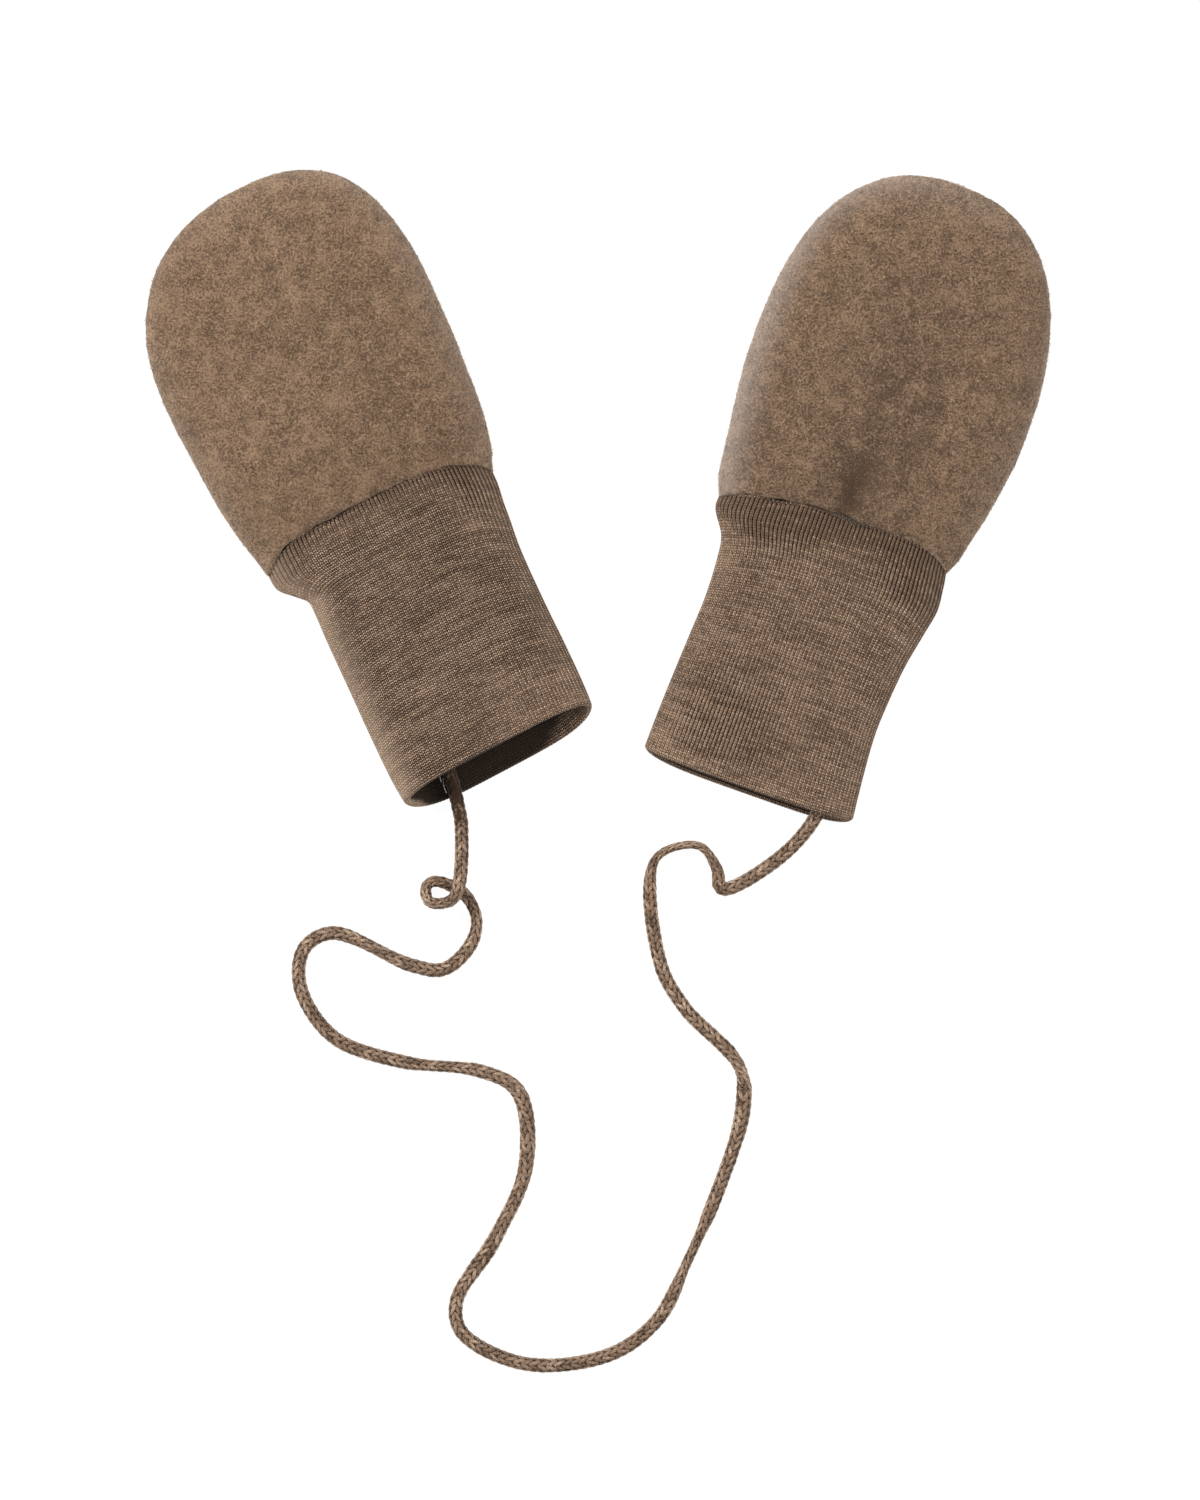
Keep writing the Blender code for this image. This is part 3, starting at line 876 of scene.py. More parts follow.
def hand_plan(mitten, across, along):
    """Plan places of a panel, spread evenly between its sides, its wrist and its tip."""
    left, right = hand_side(mitten, "left"), hand_side(mitten, "right")
    u, v = ((across + 1) / 2)[:, None], along[:, None]
    on_left = point_on(left, TIP_CORNER * along)
    on_right = point_on(right, TIP_CORNER * along)
    to_tip = 1 - TIP_CORNER
    on_tip = np.where(
        u < 0.5,
        point_on(left, TIP_CORNER + to_tip * 2 * u[:, 0]),
        point_on(right, TIP_CORNER + to_tip * 2 * (1 - u[:, 0])),
    )
    wrist = np.stack(wrist_seam(mitten, across), axis=-1)
    wrist_corners = left[0] + (right[0] - left[0]) * u
    tip_left, tip_right = (point_on(path, np.array([TIP_CORNER])) for path in (left, right))
    tip_corners = tip_left + (tip_right - tip_left) * u
    plan = (
        wrist + (on_tip - wrist) * v + on_left + (on_right - on_left) * u
        - (wrist_corners + (tip_corners - wrist_corners) * v)
    )
    return plan[:, 0], plan[:, 1] + SEAM_GAP / 2 * (1 - along)


def hand_heights(along):
    """Heights of the hand's top and of its side seam at distances from the wrist."""
    fraction = np.clip(along / SHOULDER_LENGTH, 0.0, 1.0)
    top = WRIST_HEIGHT + (HAND_HEIGHT - WRIST_HEIGHT) * (1 - (1 - fraction) ** SHOULDER_POWER)
    seam = WRIST_HEIGHT / 2 + (HAND_SEAM_HEIGHT - WRIST_HEIGHT / 2) * fraction
    return top, seam


def upper_side(seam, top, lift):
    """Height of the upper cloth: an upright turn at the side seam, then the rounded top."""
    return seam + SEAM_STRIP + (top - seam - SEAM_STRIP) * lift


def painted_rim_light_share(haze, across, lift):
    """How much painted rim light the cloth gets towards its rims: across is -1 and 1 at the sides."""
    sides = haze.left * ((1 - across) / 2) ** 2 + haze.right * ((1 + across) / 2) ** 2
    return sides * np.clip((1 - lift - PAINTED_LIGHT_START) / (PAINTED_LIGHT_FULL - PAINTED_LIGHT_START), 0.0, 1.0)


def tuck_in_sides(panel, is_front, middle):
    """Turns a panel's edge down and inwards round the sides and the tip, where the seam is."""
    shape = shape_of(panel)
    shape.verts.ensure_lookup_table()
    wrist = set(shape.verts[:PANEL_ACROSS + 1])
    rim = [edge for edge in shape.edges if edge.is_boundary and not wrist.issuperset(edge.verts)]
    for tuck in SIDE_TUCKS:
        down = tuck.down * MM if is_front else -tuck.down * MM
        grown = bmesh.ops.extrude_edge_only(shape, edges=rim)["geom"]
        new_verts = {item for item in grown if isinstance(item, bmesh.types.BMVert)}
        new_edges = [item for item in grown if isinstance(item, bmesh.types.BMEdge)]
        rim = [edge for edge in new_edges if new_verts.issuperset(edge.verts)]
        for vertex in new_verts:
            inwards = (middle - vertex.co).xy.normalized() * tuck.inwards * MM
            vertex.co += Vector((*inwards, -down))
    settle_order(shape)
    bmesh.ops.recalc_face_normals(shape, faces=shape.faces)
    largest = max(shape.faces, key=lambda face: face.calc_area())
    if (largest.normal.z > 0) != is_front:
        bmesh.ops.reverse_faces(shape, faces=shape.faces)
    return put_back(panel, shape)


def get_normals(mesh):
    """Directions straight out of a mesh at its vertices."""
    normals = np.empty(len(mesh.vertices) * 3, np.float32)
    mesh.vertex_normals.foreach_get("vector", normals)
    return normals.reshape(-1, 3)


def roughen(panel):
    """Presses soft lumps into a panel, and sets it back by the depth of its nap."""
    places = get_places(panel.data)
    depth = np.zeros(len(places))
    for number, lumps in enumerate(FLEECE_LUMPS):
        depth = depth + lumps.depth * soft_noise(places, lumps.size, number + 1)
    places = places + get_normals(panel.data) * ((depth - NAP_DEPTH) * MM)[:, None]
    places[:, 2] = np.maximum(places[:, 2], LOWEST_CLOTH * MM)
    set_places(panel.data, places)


def fleece_panel(mitten, side):
    """A panel's right side as a fine grid, rolled in at the wrist and tucked in at the side seam."""
    is_front = side == "front"
    panel = rolled_tube(f"{mitten.name}_hand_{side}_fleece", PANEL_ACROSS, PANEL_ALONG)
    column, row = grid_steps(panel, PANEL_ACROSS, PANEL_ALONG)
    across = -np.cos(math.pi * column / PANEL_ACROSS)
    along = np.sin(math.pi / 2 * (row / PANEL_ALONG) ** ROWS_TO_WRIST)
    x, y = hand_plan(mitten, across, along)
    top, seam = hand_heights(y)
    near_wrist = np.clip(1 - along / ROLL_SHARE, 0.0, 1.0)
    roll = EDGE_ROLL * (1 - np.sqrt(1 - near_wrist**2))
    flat_places = np.stack([x, y, np.zeros_like(x)], axis=-1) * MM
    ragged = 1 + EDGE_RAGGED * soft_noise(flat_places, RAGGED_SIZE, RAGGED_SEED)
    y = y - EDGE_OVERHANG * ragged * np.clip(1 - along / OVERHANG_SHARE, 0.0, 1.0)
    pressed = crease_depth(mitten.hand_creases if is_front else mitten.back_creases, x, y)
    if is_front:
        lift = rounded(across, TOP_POWER) * rounded(along, TOP_POWER)
        height = upper_side(seam, top, lift) - (pressed + roll) * lift
    else:
        lift = rounded(across, UNDERSIDE_POWER) * rounded(along, UNDERSIDE_POWER)
        height = (seam - SEAM_STRIP) * (1 - underside(lift)) + (pressed + roll) * lift
    set_places(panel.data, put_in_place(mitten, x, y, height))
    inner = rounded(across, TOP_POWER) * rounded(along, PAINTED_LIGHT_TIP_POWER)
    set_values(panel.data, "shade", np.zeros_like(x))
    # Painted shade in the pressed hollows, fading out towards the rims.
    set_values(panel.data, "hollow", pressed * lift**3)
    # Painted light along the rims.
    set_values(panel.data, "pale", painted_rim_light_share(mitten.rim_haze, across, inner))
    set_values(panel.data, "edge", near_wrist)
    tuck_in_sides(panel, is_front, Vector(put_in_place(mitten, 0.0, PANEL_MIDDLE, 0.0)))
    roughen(panel)
    return panel


hand_panels = {
    (mitten.name, side): fleece_panel(mitten, side) for mitten in MITTENS for side in ("front", "back")
}

# The nap: short wool fibres brushed up from the cloth, matted and lying every way. They swirl, and
# stand in lighter and darker tufts.
NAP_COUNT = {"front": 34000, "back": 12000}
NAP_SEED = 11
NAP_WIDTH = 0.10
NAP_LENGTH = (0.50, 1.20)
NAP_RISE = (0.02, 0.30)
NAP_ROOT = 0.05
LOWEST_NAP = 0.01
EDGE_NAP = 2.5
SWIRL_START = (0.31, 0.95, 0.05)
SWIRL_SIZE = 9.0
SWIRL_SPREAD = 0.9
Tufts = namedtuple("Tufts", "size shade")
NAP_TUFTS = (Tufts(size=0.7, shade=0.9), Tufts(size=2.0, shade=0.4))
NAP_SHADE = 0.5
NAP_SHADE_SPREAD = 0.15


def get_values(mesh, name):
    """Reads the numbers kept for the vertices."""
    values = np.empty(len(mesh.vertices), np.float32)
    mesh.attributes[name].data.foreach_get("value", values)
    return values


def scatter(mesh, count, random):
    """Random places all over a mesh, more of them at its wrist edge.

    Gives a vertex beside each place, the place itself, and the direction straight out of it."""
    mesh.calc_loop_triangles()
    corners = np.empty(len(mesh.loop_triangles) * 3, np.int32)
    mesh.loop_triangles.foreach_get("vertices", corners)
    a, b, c = corners.reshape(-1, 3).T
    places, normals = get_places(mesh), get_normals(mesh)
    areas = np.linalg.norm(np.cross(places[b] - places[a], places[c] - places[a]), axis=1)
    chances = areas * (1 + EDGE_NAP * get_values(mesh, "edge")[a])
    chosen = random.choice(len(areas), count, p=chances / chances.sum())
    s, t = random.random((2, count, 1))
    s, t = np.where(s + t > 1, 1 - s, s), np.where(s + t > 1, 1 - t, t)
    a, b, c = a[chosen], b[chosen], c[chosen]
    roots = places[a] + (places[b] - places[a]) * s + (places[c] - places[a]) * t
    return a, roots, unit(normals[a] * (1 - s - t) + normals[b] * s + normals[c] * t)


def nap_on(panel, count, seed):
    """Short closed spikes set all over a panel, each with its own lean, length and shade."""
    random = np.random.default_rng(seed)
    beside, roots, out = scatter(panel.data, count, random)
    swirl = 2 * math.pi * soft_noise(roots, SWIRL_SIZE, seed) + random.normal(0.0, SWIRL_SPREAD, count)
    first = unit(np.cross(out, SWIRL_START))
    flat = first * np.cos(swirl)[:, None] + np.cross(out, first) * np.sin(swirl)[:, None]
    ahead = unit(flat + out * random.uniform(*NAP_RISE, count)[:, None])
    side = unit(np.cross(ahead, out))
    up = np.cross(side, ahead)
    length = random.uniform(*NAP_LENGTH, count)[:, None] * MM

    spike = bmesh.new()
    bmesh.ops.create_cone(spike, segments=3, cap_ends=True, radius1=1.0, radius2=0.0, depth=1.0)
    bmesh.ops.translate(spike, verts=spike.verts, vec=(0.0, 0.0, 0.5))
    bmesh.ops.remove_doubles(spike, verts=spike.verts, dist=MERGE_WITHIN)
    nap = many_copies(to_object(panel.name.replace("fleece", "nap"), spike), count)
    local = get_places(nap.data)
    which = np.repeat(np.arange(count), len(local) // count)
    width = NAP_WIDTH * MM
    places = (
        roots[which] - out[which] * NAP_ROOT * MM
        + side[which] * local[:, :1] * width + up[which] * local[:, 1:2] * width
        + ahead[which] * local[:, 2:] * length[which]
    )
    places[:, 2] = np.maximum(places[:, 2], LOWEST_NAP * MM)
    set_places(nap.data, places)
    shade = NAP_SHADE
    for number, tufts in enumerate(NAP_TUFTS):
        shade = shade + tufts.shade * soft_noise(roots, tufts.size, seed + 1 + number)
    shade = np.clip(shade + random.normal(0.0, NAP_SHADE_SPREAD, count), 0.0, 1.0)
    set_values(nap.data, "shade", shade[which])
    # The nap takes the painted hollow shade and painted rim light of the cloth it grows from.
    for name in ("hollow", "pale"):
        set_values(nap.data, name, get_values(panel.data, name)[beside][which])
    return nap


FLEECE_BROWNS = {
    "left": Browns(
        dark=(0.086, 0.046, 0.023, 1.0), middle=(0.302, 0.190, 0.114, 1.0), light=(0.54, 0.375, 0.25, 1.0)
    ),
    "right": Browns(
        dark=(0.070, 0.037, 0.019, 1.0), middle=(0.268, 0.168, 0.101, 1.0), light=(0.52, 0.36, 0.24, 1.0)
    ),
}
RIM_PAINTED_LIGHT = (0.75, 0.68, 0.64, 1.0)
CLOTH_YARN = Yarn(
    clouds=210.0, flecks=1900.0, shade=-0.12, own_shade=0.0, grain=0.40 * MM, roughness=0.95,
    fuzz=0.6, fuzz_color=(0.80, 0.67, 0.54, 1.0),
)
# How much the hollows are darkened with painted shade, in the cloth and in the nap.
CLOTH_PAINTED_HOLLOW_SHADE = -0.05
NAP_YARN = CLOTH_YARN._replace(shade=-0.21, own_shade=0.46, grain=0.05 * MM)
NAP_PAINTED_HOLLOW_SHADE = -0.06


def fleece_material(name, browns, yarn, painted_hollow_strength):
    """Felted wool in clouds of brown, with painted shade in hollows and painted light at the rims.

    The cloth and its nap both have it; each fibre of the nap also has its own shade."""
    material, tree, shader = new_material(name)
    # Painted shade in the hollows.
    hollow = put_kept_value(tree, "hollow")
    shade = put_math(tree, "MULTIPLY_ADD", hollow, painted_hollow_strength, put_own_shade(tree, yarn))
    heather = put_heather(tree, browns, yarn, shade)
    # Painted light at the rims, mixed towards a pale grey brown.
    color = put_mix(tree, put_kept_value(tree, "pale"), heather["Color"], RIM_PAINTED_LIGHT)
    give_yarn_shader(tree, shader, color, heather["Fuzz"], yarn)
    return material


for number, ((name, side), panel) in enumerate(hand_panels.items()):
    browns = FLEECE_BROWNS[name]
    nap = nap_on(panel, NAP_COUNT[side], seed=NAP_SEED + number)
    nap.data.materials.append(fleece_material(f"{name} {side} nap", browns, NAP_YARN, NAP_PAINTED_HOLLOW_SHADE))
    cloth = fleece_material(f"{name} {side} fleece", browns, CLOTH_YARN, CLOTH_PAINTED_HOLLOW_SHADE)
    panel.data.materials.append(cloth)
    wall = panel.modifiers.new("fleece wall", "SOLIDIFY")
    wall.thickness = (FLEECE_WALL - NAP_DEPTH) * MM
    wall.offset = -1.0
    for piece in (panel, nap):
        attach(piece, "root")
    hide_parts(f"{name}_hand_{side}")

# ---- Rib cuffs ----------------------------------------------------------------------------------
# A tube of fine rib knit, folded double with the fold at the mouth, so that its wall is two layers.
# Its raw edges are sewn to the hands, where the stitching pulls it in and opens the ribs out.
CUFF_WALL = 1.8
CUFF_HALF_WIDTH = 27.0
SECTION_SAMPLES = 4001
RIBS = 120
STEPS_PER_RIB = 4
STEPS_AROUND = RIBS * STEPS_PER_RIB
OUTER_COURSES = 96
FOLD_STEPS = 6
INNER_STEPS = 16
INNER_SPREAD = 1.5
CUFF_ROWS = OUTER_COURSES + FOLD_STEPS + INNER_STEPS + 1
COURSE = 0.69
FOLD_ROUND = 0.9
FOLD_SURFACE = 2.8
FOLD_REACH = 2.5
FOLD_RIB_SHARE = 0.30
RIB_PROFILE = (1.0, 0.25, 0.0, 0.25)
RIB_DEPTH = 0.26
PULLED_RIB_DEPTH = 0.50
SEAM_PULL_REACH = 4.5
STRAIN_REACH = 11.0
SEAM_DIP = 0.35
SEAM_DIP_REACH = 1.5
SEAM_DIP_SIDE_LOSS = 0.8
# How the painted shade inside the mouth spreads round the corners and fades in.
LIT_LEFT_SHARE = 0.16
LIT_RIGHT_SHARE = 0.45
EDGE_FADE = 0.7
RIGHT_FADE = 0.5


def equal_turns(count):
    """Turns round a typical section of the cuff that are equally far apart on the cloth."""
    turn = np.linspace(0.0, 2 * math.pi, SECTION_SAMPLES)
    position, rise = np.cos(turn), np.sin(turn)
    upper = WRIST_HEIGHT / 2 * (1 + rounded(position, CUFF_TOP_POWER))
    lower = WRIST_HEIGHT / 2 * (1 - underside(rounded(position, UNDERSIDE_POWER)))
    section = np.stack([CUFF_HALF_WIDTH * position, np.where(rise > 0, upper, lower)], axis=-1)
    reach = lengths_along(section)
    return np.interp(np.linspace(0.0, reach[-1], count + 1), reach, turn)


def cuff_rows():
    """How far each row of the cuff is from the wrist seam to the mouth, and round the fold."""
    fraction = np.concatenate([
        np.linspace(0.0, 1.0, OUTER_COURSES + 1),
        np.ones(FOLD_STEPS),
        1.0 - np.linspace(0.0, 1.0, INNER_STEPS + 1)[1:] ** INNER_SPREAD,
        [0.0],
    ])
    fold = np.concatenate([
        np.zeros(OUTER_COURSES + 1),
        np.linspace(0.0, 1.0, FOLD_STEPS + 1)[1:],
        np.ones(INNER_STEPS),
        [0.0],
    ])
    return fraction[:, None], fold[:, None]


def cuff_ring(mitten, turn, fraction, wall):
    """Places of a cuff: turn round it, fraction from the wrist seam to the mouth, wall inwards.

    The ribs run straight in the middle, and only those near a side follow its bulges."""
    position, rise = np.cos(turn), np.sin(turn)
    seam = wrist_seam(mitten, position)[1] - SEAM_GAP / 2
    mouth = mitten.mouth
    edge = mouth.left + (mouth.right - mouth.left) * (position + 1) / 2
    slant = np.where(rise > 0, mouth.upper, mouth.lower)
    edge = edge + slant * rounded(position, TOP_POWER) + FOLD_ROUND
    along = seam + (edge - seam) * fraction
    across = -position * wall
    for side, nearness in (("left", (1 - position) / 2), ("right", (1 + position) / 2)):
        usual = float(np.median([getattr(section, side) for section in mitten.cuff]))
        wider = read_table(mitten.cuff, side, along) - usual
        across = across + usual * nearness + wider * nearness**3
    height = read_table(mitten.cuff, "height", along)
    middle = height / 2
    pressed = crease_depth(mitten.cuff_creases, across, along)
    upper = middle + (middle - wall - pressed) * rounded(position, CUFF_TOP_POWER)
    lower = middle - (middle - wall) * underside(rounded(position, UNDERSIDE_POWER))
    return across, along, np.where(rise > 0, upper, lower)


def ways_out(places):
    """The directions out of a cuff's wall, from each place's neighbours round it and along it."""
    round_it = np.roll(places[:, :-1], -1, axis=1) - np.roll(places[:, :-1], 1, axis=1)
    round_it = np.concatenate([round_it, round_it[:, :1]], axis=1)
    along_it = np.roll(places[:-1], -1, axis=0) - np.roll(places[:-1], 1, axis=0)
    along_it = np.concatenate([along_it, along_it[:1]], axis=0)
    outwards = unit(np.cross(along_it, round_it))
    is_inwards = outwards[OUTER_COURSES // 2, STEPS_AROUND // 4, 2] < 0
    return -outwards if is_inwards else outwards


def valley_depth(pull, from_fold, is_outer):
    """Depth between the ribs: more where the knit is pulled, little at the fold and inside."""
    valley = np.array(RIB_PROFILE)[np.arange(STEPS_AROUND + 1) % STEPS_PER_RIB]
    depth = valley * (RIB_DEPTH + (PULLED_RIB_DEPTH - RIB_DEPTH) * pull)
    near_fold = np.where(is_outer, np.exp(-((from_fold / FOLD_REACH) ** 2)), 1.0)
    return depth * (1 - (1 - FOLD_RIB_SHARE) * near_fold)


def painted_shade_inside(mouth, turn, way_in):
    """Painted shade inside: 0 near the mouth's edge, where light comes in, up to 1 deep inside."""
    lit_left = mouth.lit_left * np.exp(-(((1 + np.cos(turn)) / LIT_LEFT_SHARE) ** 2))
    lit_right = mouth.lit_right * np.exp(-(((1 - np.cos(turn)) / LIT_RIGHT_SHARE) ** 2))
    past_light = way_in - mouth.lit_edge - lit_left - lit_right / 2
    return np.clip(past_light / (EDGE_FADE + RIGHT_FADE * lit_right), 0.0, 1.0)


def count_knit(cuff, course):
    """Makes the cuff's UV map count the ribs round it and the courses along it."""
    layer = cuff.data.uv_layers["knit"]
    counts = np.empty(len(layer.data) * 2, np.float32)
    layer.data.foreach_get("uv", counts)
    counts = counts.reshape(-1, 2)
    counts[:, 1] = np.interp(counts[:, 1] * CUFF_ROWS, np.arange(CUFF_ROWS + 1), course)
    counts[:, 0] *= RIBS
    layer.data.foreach_set("uv", counts.ravel())


def rib_cuff(mitten):
    """The whole cuff as one closed ribbed surface: outside, round the fold, and back up inside."""
    turn = equal_turns(STEPS_AROUND)[None, :]
    fraction, fold = cuff_rows()
    wall = CUFF_WALL * (1 - np.cos(math.pi * fold)) / 2
    across, along, height = cuff_ring(mitten, turn + 0 * fraction, fraction, wall)
    along = along - FOLD_ROUND * np.sin(math.pi * fold)
    places = np.stack([across, along, height], axis=-1)
    course = lengths_along(places[:, STEPS_AROUND // 4]) / COURSE

    from_seam = fraction * (OUTER_COURSES * COURSE)
    from_fold = (1 - fraction) * (OUTER_COURSES * COURSE)
    is_outer = (np.arange(CUFF_ROWS + 1) <= OUTER_COURSES)[:, None]
    pull = np.exp(-((from_seam / SEAM_PULL_REACH) ** 2))
    pull = np.clip(pull + crease_depth(mitten.rib_pulls, across, along), 0.0, 1.0) * is_outer
    dip = SEAM_DIP * np.exp(-((from_seam / SEAM_DIP_REACH) ** 2)) * is_outer
    dip = dip * (1 - SEAM_DIP_SIDE_LOSS * np.cos(turn) ** 6)
    dip = dip * (1 + crease_depth(mitten.seam_gapes, across, along))
    places = places - ways_out(places) * (valley_depth(pull, from_fold, is_outer) + dip)[..., None]
    places[-1] = places[0]
    height = np.maximum(places[..., 2], LOWEST_CLOTH)
    placed = put_in_place(mitten, places[..., 0], places[..., 1], height)

    cuff = rolled_tube(f"{mitten.name}_cuff_rib", STEPS_AROUND, CUFF_ROWS)
    column, row = grid_steps(cuff, STEPS_AROUND, CUFF_ROWS)
    set_places(cuff.data, placed[row, column])
    kept_values = {
        # Painted shade deep inside the cuff, past the mouth's edge.
        "inside": painted_shade_inside(mitten.mouth, turn, fold * (FOLD_SURFACE + from_fold)),
        "pull": pull,
        # Painted shade near the wrist seam, where the knit is pulled.
        "strained": pull * np.exp(-((from_seam / STRAIN_REACH) ** 2)),
        # Painted light along the cuff's sides.
        "pale": painted_rim_light_share(mitten.cuff_haze, np.cos(turn), rounded(np.cos(turn), TOP_POWER)),
    }
    for name, values in kept_values.items():
        set_values(cuff.data, name, np.broadcast_to(values, height.shape)[row, column])
    count_knit(cuff, course)
    return close_seams(cuff)


# The knit is measured in ribs across and courses along. Each rib is one stitch wide. Its two legs
# lie a quarter of a rib from its middle, are slanted to a V, and wander a little. The valley between
# two ribs starts and ends at these shares of a rib from its middle, sooner where the knit is pulled.
WANDER_SCALE = 0.45
WANDER_ACROSS = 0.25
WANDER_ALONG = 0.45
LEG_OUTER_SHARE = 0.75
LEG_V = -0.80
STITCH_LEAN = 0.35
LEG_SHORTNESS = 1.90
BETWEEN_LEGS = (0.42, 0.74)
PULLED_BETWEEN = -0.35
Valley = namedtuple("Valley", "start pulled pulled_hard")
VALLEY_ENDS = (
    Valley(start=0.33, pulled=-0.07, pulled_hard=-0.05),
    Valley(start=0.48, pulled=-0.06, pulled_hard=-0.05),
)
HARD_PULL_POWER = 4.0
# Painted shade in the valleys between ribs, and how much darker it is where the knit is pulled.
VALLEY_PAINTED_SHADE = 0.72
PULLED_VALLEY_PAINTED_SHADE = 0.28
STREAK_ACROSS = 0.08
STREAK_ALONG = 1.31


def knit_stitches_group():
    """Columns of knitted stitches, with two plump legs to a stitch, and the streaks of the courses.

    Where the ribs are pulled open, the stitches close up, and the painted shade in the grooves
    between the ribs grows wider and darker."""
    inputs = {"Vector": "Vector", "Pull": "Float"}
    outputs = {"Height": "Float", "Gap": "Float", "Streak": "Float", "Stitch": "Float"}
    group, given, result = new_group("knit stitches", inputs, outputs)

    def math_step(operation, *values):
        return put_math(group, operation, *values)

    pull = given["Pull"]
    parts = put_node(group, "ShaderNodeSeparateXYZ", {0: given["Vector"]}).outputs
    wander = put_noise(group, given["Vector"], WANDER_SCALE)
    u = math_step("MULTIPLY_ADD", wander, WANDER_ACROSS, parts[0])
    v = math_step("MULTIPLY_ADD", wander, WANDER_ALONG, parts[1])
    in_rib = math_step("FRACT", u)
    from_middle = math_step("ABSOLUTE", math_step("SUBTRACT", in_rib, 0.5))
    leg_across = math_step("MULTIPLY_ADD", from_middle, 4.0, -1.0)
    leg_across = math_step("MAXIMUM", leg_across, math_step("MULTIPLY", leg_across, LEG_OUTER_SHARE))
    slanted = math_step("MULTIPLY_ADD", from_middle, LEG_V, v)
    slanted = math_step("MULTIPLY_ADD", in_rib, STITCH_LEAN, slanted)
    from_course = math_step("SUBTRACT", math_step("FRACT", slanted), 0.5)
    leg_along = math_step("MULTIPLY", from_course, LEG_SHORTNESS)
    off_leg = math_step("MULTIPLY", leg_across, leg_across)
    off_leg = math_step("MULTIPLY_ADD", leg_along, leg_along, off_leg)
    between = put_range(group, math_step("SQRT", off_leg), *BETWEEN_LEGS)
    between = math_step("MULTIPLY", between, math_step("MULTIPLY_ADD", pull, PULLED_BETWEEN, 1.0))

    pulled_hard = math_step("POWER", pull, HARD_PULL_POWER)
    valley_ends = []
    for end in VALLEY_ENDS:
        place = math_step("MULTIPLY_ADD", pull, end.pulled, end.start)
        valley_ends.append(math_step("MULTIPLY_ADD", pulled_hard, end.pulled_hard, place))
    valley_painted_shade = math_step("MULTIPLY_ADD", pull, PULLED_VALLEY_PAINTED_SHADE, VALLEY_PAINTED_SHADE)
    valley = math_step("MULTIPLY", put_range(group, from_middle, *valley_ends), valley_painted_shade)
    gap = math_step("MAXIMUM", between, valley)

    course = math_step("FLOOR", slanted)
    across, along = math_step("MULTIPLY", u, STREAK_ACROSS), math_step("MULTIPLY", course, STREAK_ALONG)
    streak_place = put_node(group, "ShaderNodeCombineXYZ", {"X": across, "Y": along}).outputs[0]
    leg = {"X": math_step("FLOOR", math_step("MULTIPLY", u, 2.0)), "Y": course}
    leg = put_node(group, "ShaderNodeCombineXYZ", leg).outputs[0]
    plug_in(group, result, {
        "Height": math_step("SUBTRACT", 1.0, gap),
        "Gap": gap,
        "Streak": put_noise(group, streak_place, 1.0),
        "Stitch": put_node(group, "ShaderNodeTexWhiteNoise", {"Vector": leg}).outputs["Value"],
    })
    return group


knit_stitches = knit_stitches_group()
RIB_BROWNS = Browns(
    dark=(0.264, 0.163, 0.104, 1.0), middle=(0.585, 0.388, 0.261, 1.0), light=(0.94, 0.70, 0.52, 1.0)
)
RIB_YARN = Yarn(
    clouds=90.0, flecks=1800.0, shade=-0.41, own_shade=0.0, grain=0.30 * MM, roughness=0.88,
    fuzz=0.2, fuzz_color=(0.75, 0.66, 0.56, 1.0),
)
# The near-black of painted shade, between the ribs and deep inside the mouth.
RIB_PAINTED_SHADE = (0.013, 0.006, 0.003, 1.0)
RIB_PAINTED_LIGHT = (0.80, 0.59, 0.43, 1.0)
STREAK_SHADE = 0.44
SEAM_PAINTED_SHADE = -0.16
STITCH_SHADE = 0.18
STREAK_RANGE = (0.35, 0.65)
GAP_IN_STREAK = (1.0, 0.88)
INSIDE_PAINTED_SHADE = 0.97


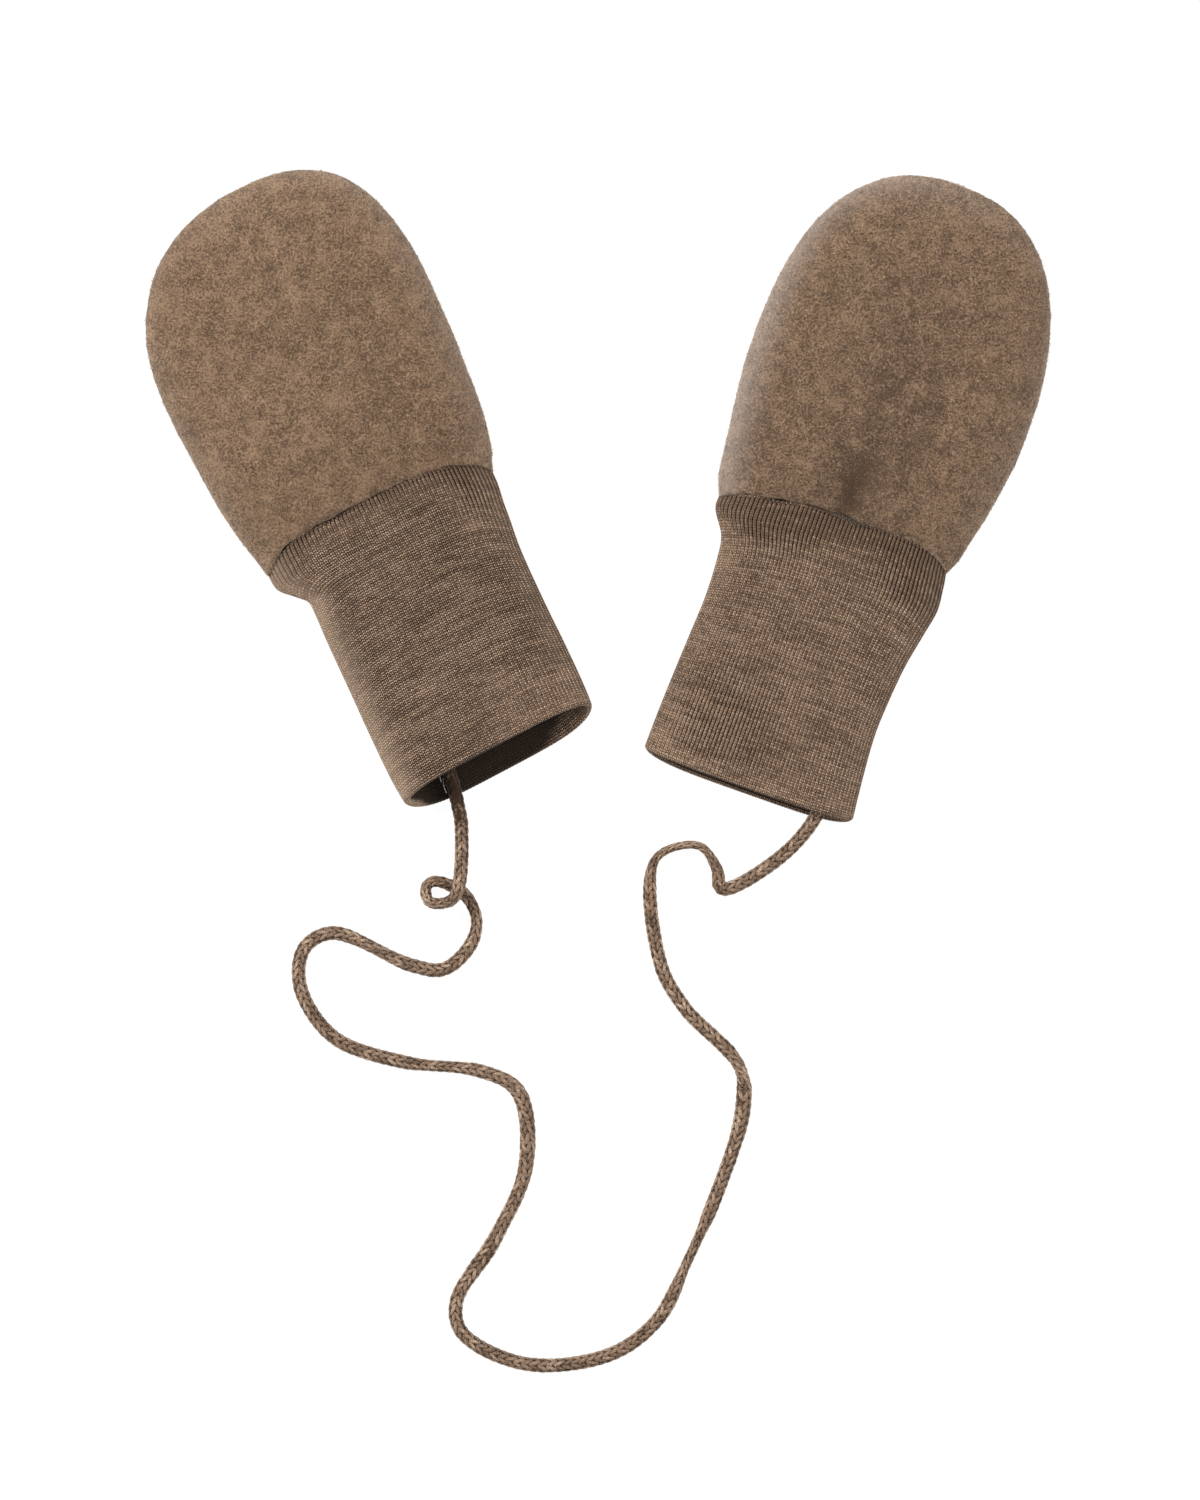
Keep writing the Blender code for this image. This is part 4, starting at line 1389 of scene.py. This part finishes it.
def rib_material(name):
    """Fine heather rib: painted shade between ribs and stitches, with lighter and darker courses."""
    material, tree, shader = new_material(name)
    counts = put_node(tree, "ShaderNodeUVMap", {}, uv_map="knit").outputs["UV"]
    inputs = {"Vector": counts, "Pull": put_kept_value(tree, "pull")}
    knit = put_node(tree, "ShaderNodeGroup", inputs, node_tree=knit_stitches).outputs
    # Painted shade near the wrist seam.
    strained = put_kept_value(tree, "strained")
    shade = put_math(tree, "MULTIPLY_ADD", knit["Streak"], STREAK_SHADE, RIB_YARN.shade)
    shade = put_math(tree, "MULTIPLY_ADD", strained, SEAM_PAINTED_SHADE, shade)
    shade = put_math(tree, "MULTIPLY_ADD", knit["Stitch"], STITCH_SHADE, shade)
    heather = put_heather(tree, RIB_BROWNS, RIB_YARN, shade)
    # Painted shade between the ribs and stitches, a little lighter in the light streaks.
    gap_share = put_range(tree, knit["Streak"], *STREAK_RANGE, *GAP_IN_STREAK)
    gap = put_math(tree, "MULTIPLY", knit["Gap"], gap_share)
    color = put_mix(tree, gap, heather["Color"], RIB_PAINTED_SHADE)
    # Painted light along the cuff's sides.
    color = put_mix(tree, put_kept_value(tree, "pale"), color, RIB_PAINTED_LIGHT)
    # Painted shade deep inside the mouth.
    inside = put_math(tree, "MULTIPLY", put_kept_value(tree, "inside"), INSIDE_PAINTED_SHADE)
    color = put_mix(tree, inside, color, RIB_PAINTED_SHADE)
    give_yarn_shader(tree, shader, color, knit["Height"], RIB_YARN)
    return material


for mitten in MITTENS:
    cuff = rib_cuff(mitten)
    cuff.data.materials.append(rib_material(f"{mitten.name} rib knit"))
    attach(cuff, "root")
    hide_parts(f"{mitten.name}_cuff")

# ---- Floor and light ----------------------------------------------------------------------------
# A plain white table, lit from within so that hardly a shadow shows on it. A low soft light from
# the left brings out the ribs and the nap, with weaker ones from the right and from the front and a
# dim white room.
WHITE = (1.0, 1.0, 1.0, 1.0)
FLOOR_SIZE = 6.0
FLOOR_COLOR = (0.10, 0.10, 0.10, 1.0)
FLOOR_ROUGHNESS = 0.9
FLOOR_GLOW = 0.94
SOFTNESS = math.radians(30)
Light = namedtuple("Light", "name towards strength")
LIGHTS = (
    Light(name="left soft light", towards=(-0.76, 0.38, 0.48), strength=3.5),
    Light(name="right soft light", towards=(0.78, 0.30, 0.55), strength=1.6),
    Light(name="front soft light", towards=(0.40, -0.66, 0.64), strength=0.85),
)
ROOM_LIGHT = 0.28

floor_shape = bmesh.new()
bmesh.ops.create_grid(floor_shape, x_segments=1, y_segments=1, size=FLOOR_SIZE / 2)
floor = to_object("floor", floor_shape)
floor_material, floor_tree, floor_shader = new_material("white floor")
plug_in(floor_tree, floor_shader, {
    "Base Color": FLOOR_COLOR, "Roughness": FLOOR_ROUGHNESS, "Specular IOR Level": 0.0,
    "Emission Color": WHITE, "Emission Strength": FLOOR_GLOW,
})
floor.data.materials.append(floor_material)

for light in LIGHTS:
    lamp = bpy.data.objects.new(light.name, bpy.data.lights.new(light.name, "SUN"))
    lamp.data.energy = light.strength
    lamp.data.angle = SOFTNESS
    lamp.rotation_euler = Vector(light.towards).to_track_quat("Z", "Y").to_euler()
    bpy.context.scene.collection.objects.link(lamp)

world = bpy.data.worlds.new("room")
world.use_nodes = True
background = world.node_tree.nodes["Background"]
plug_in(world.node_tree, background, {"Color": WHITE, "Strength": ROOM_LIGHT})
bpy.context.scene.world = world
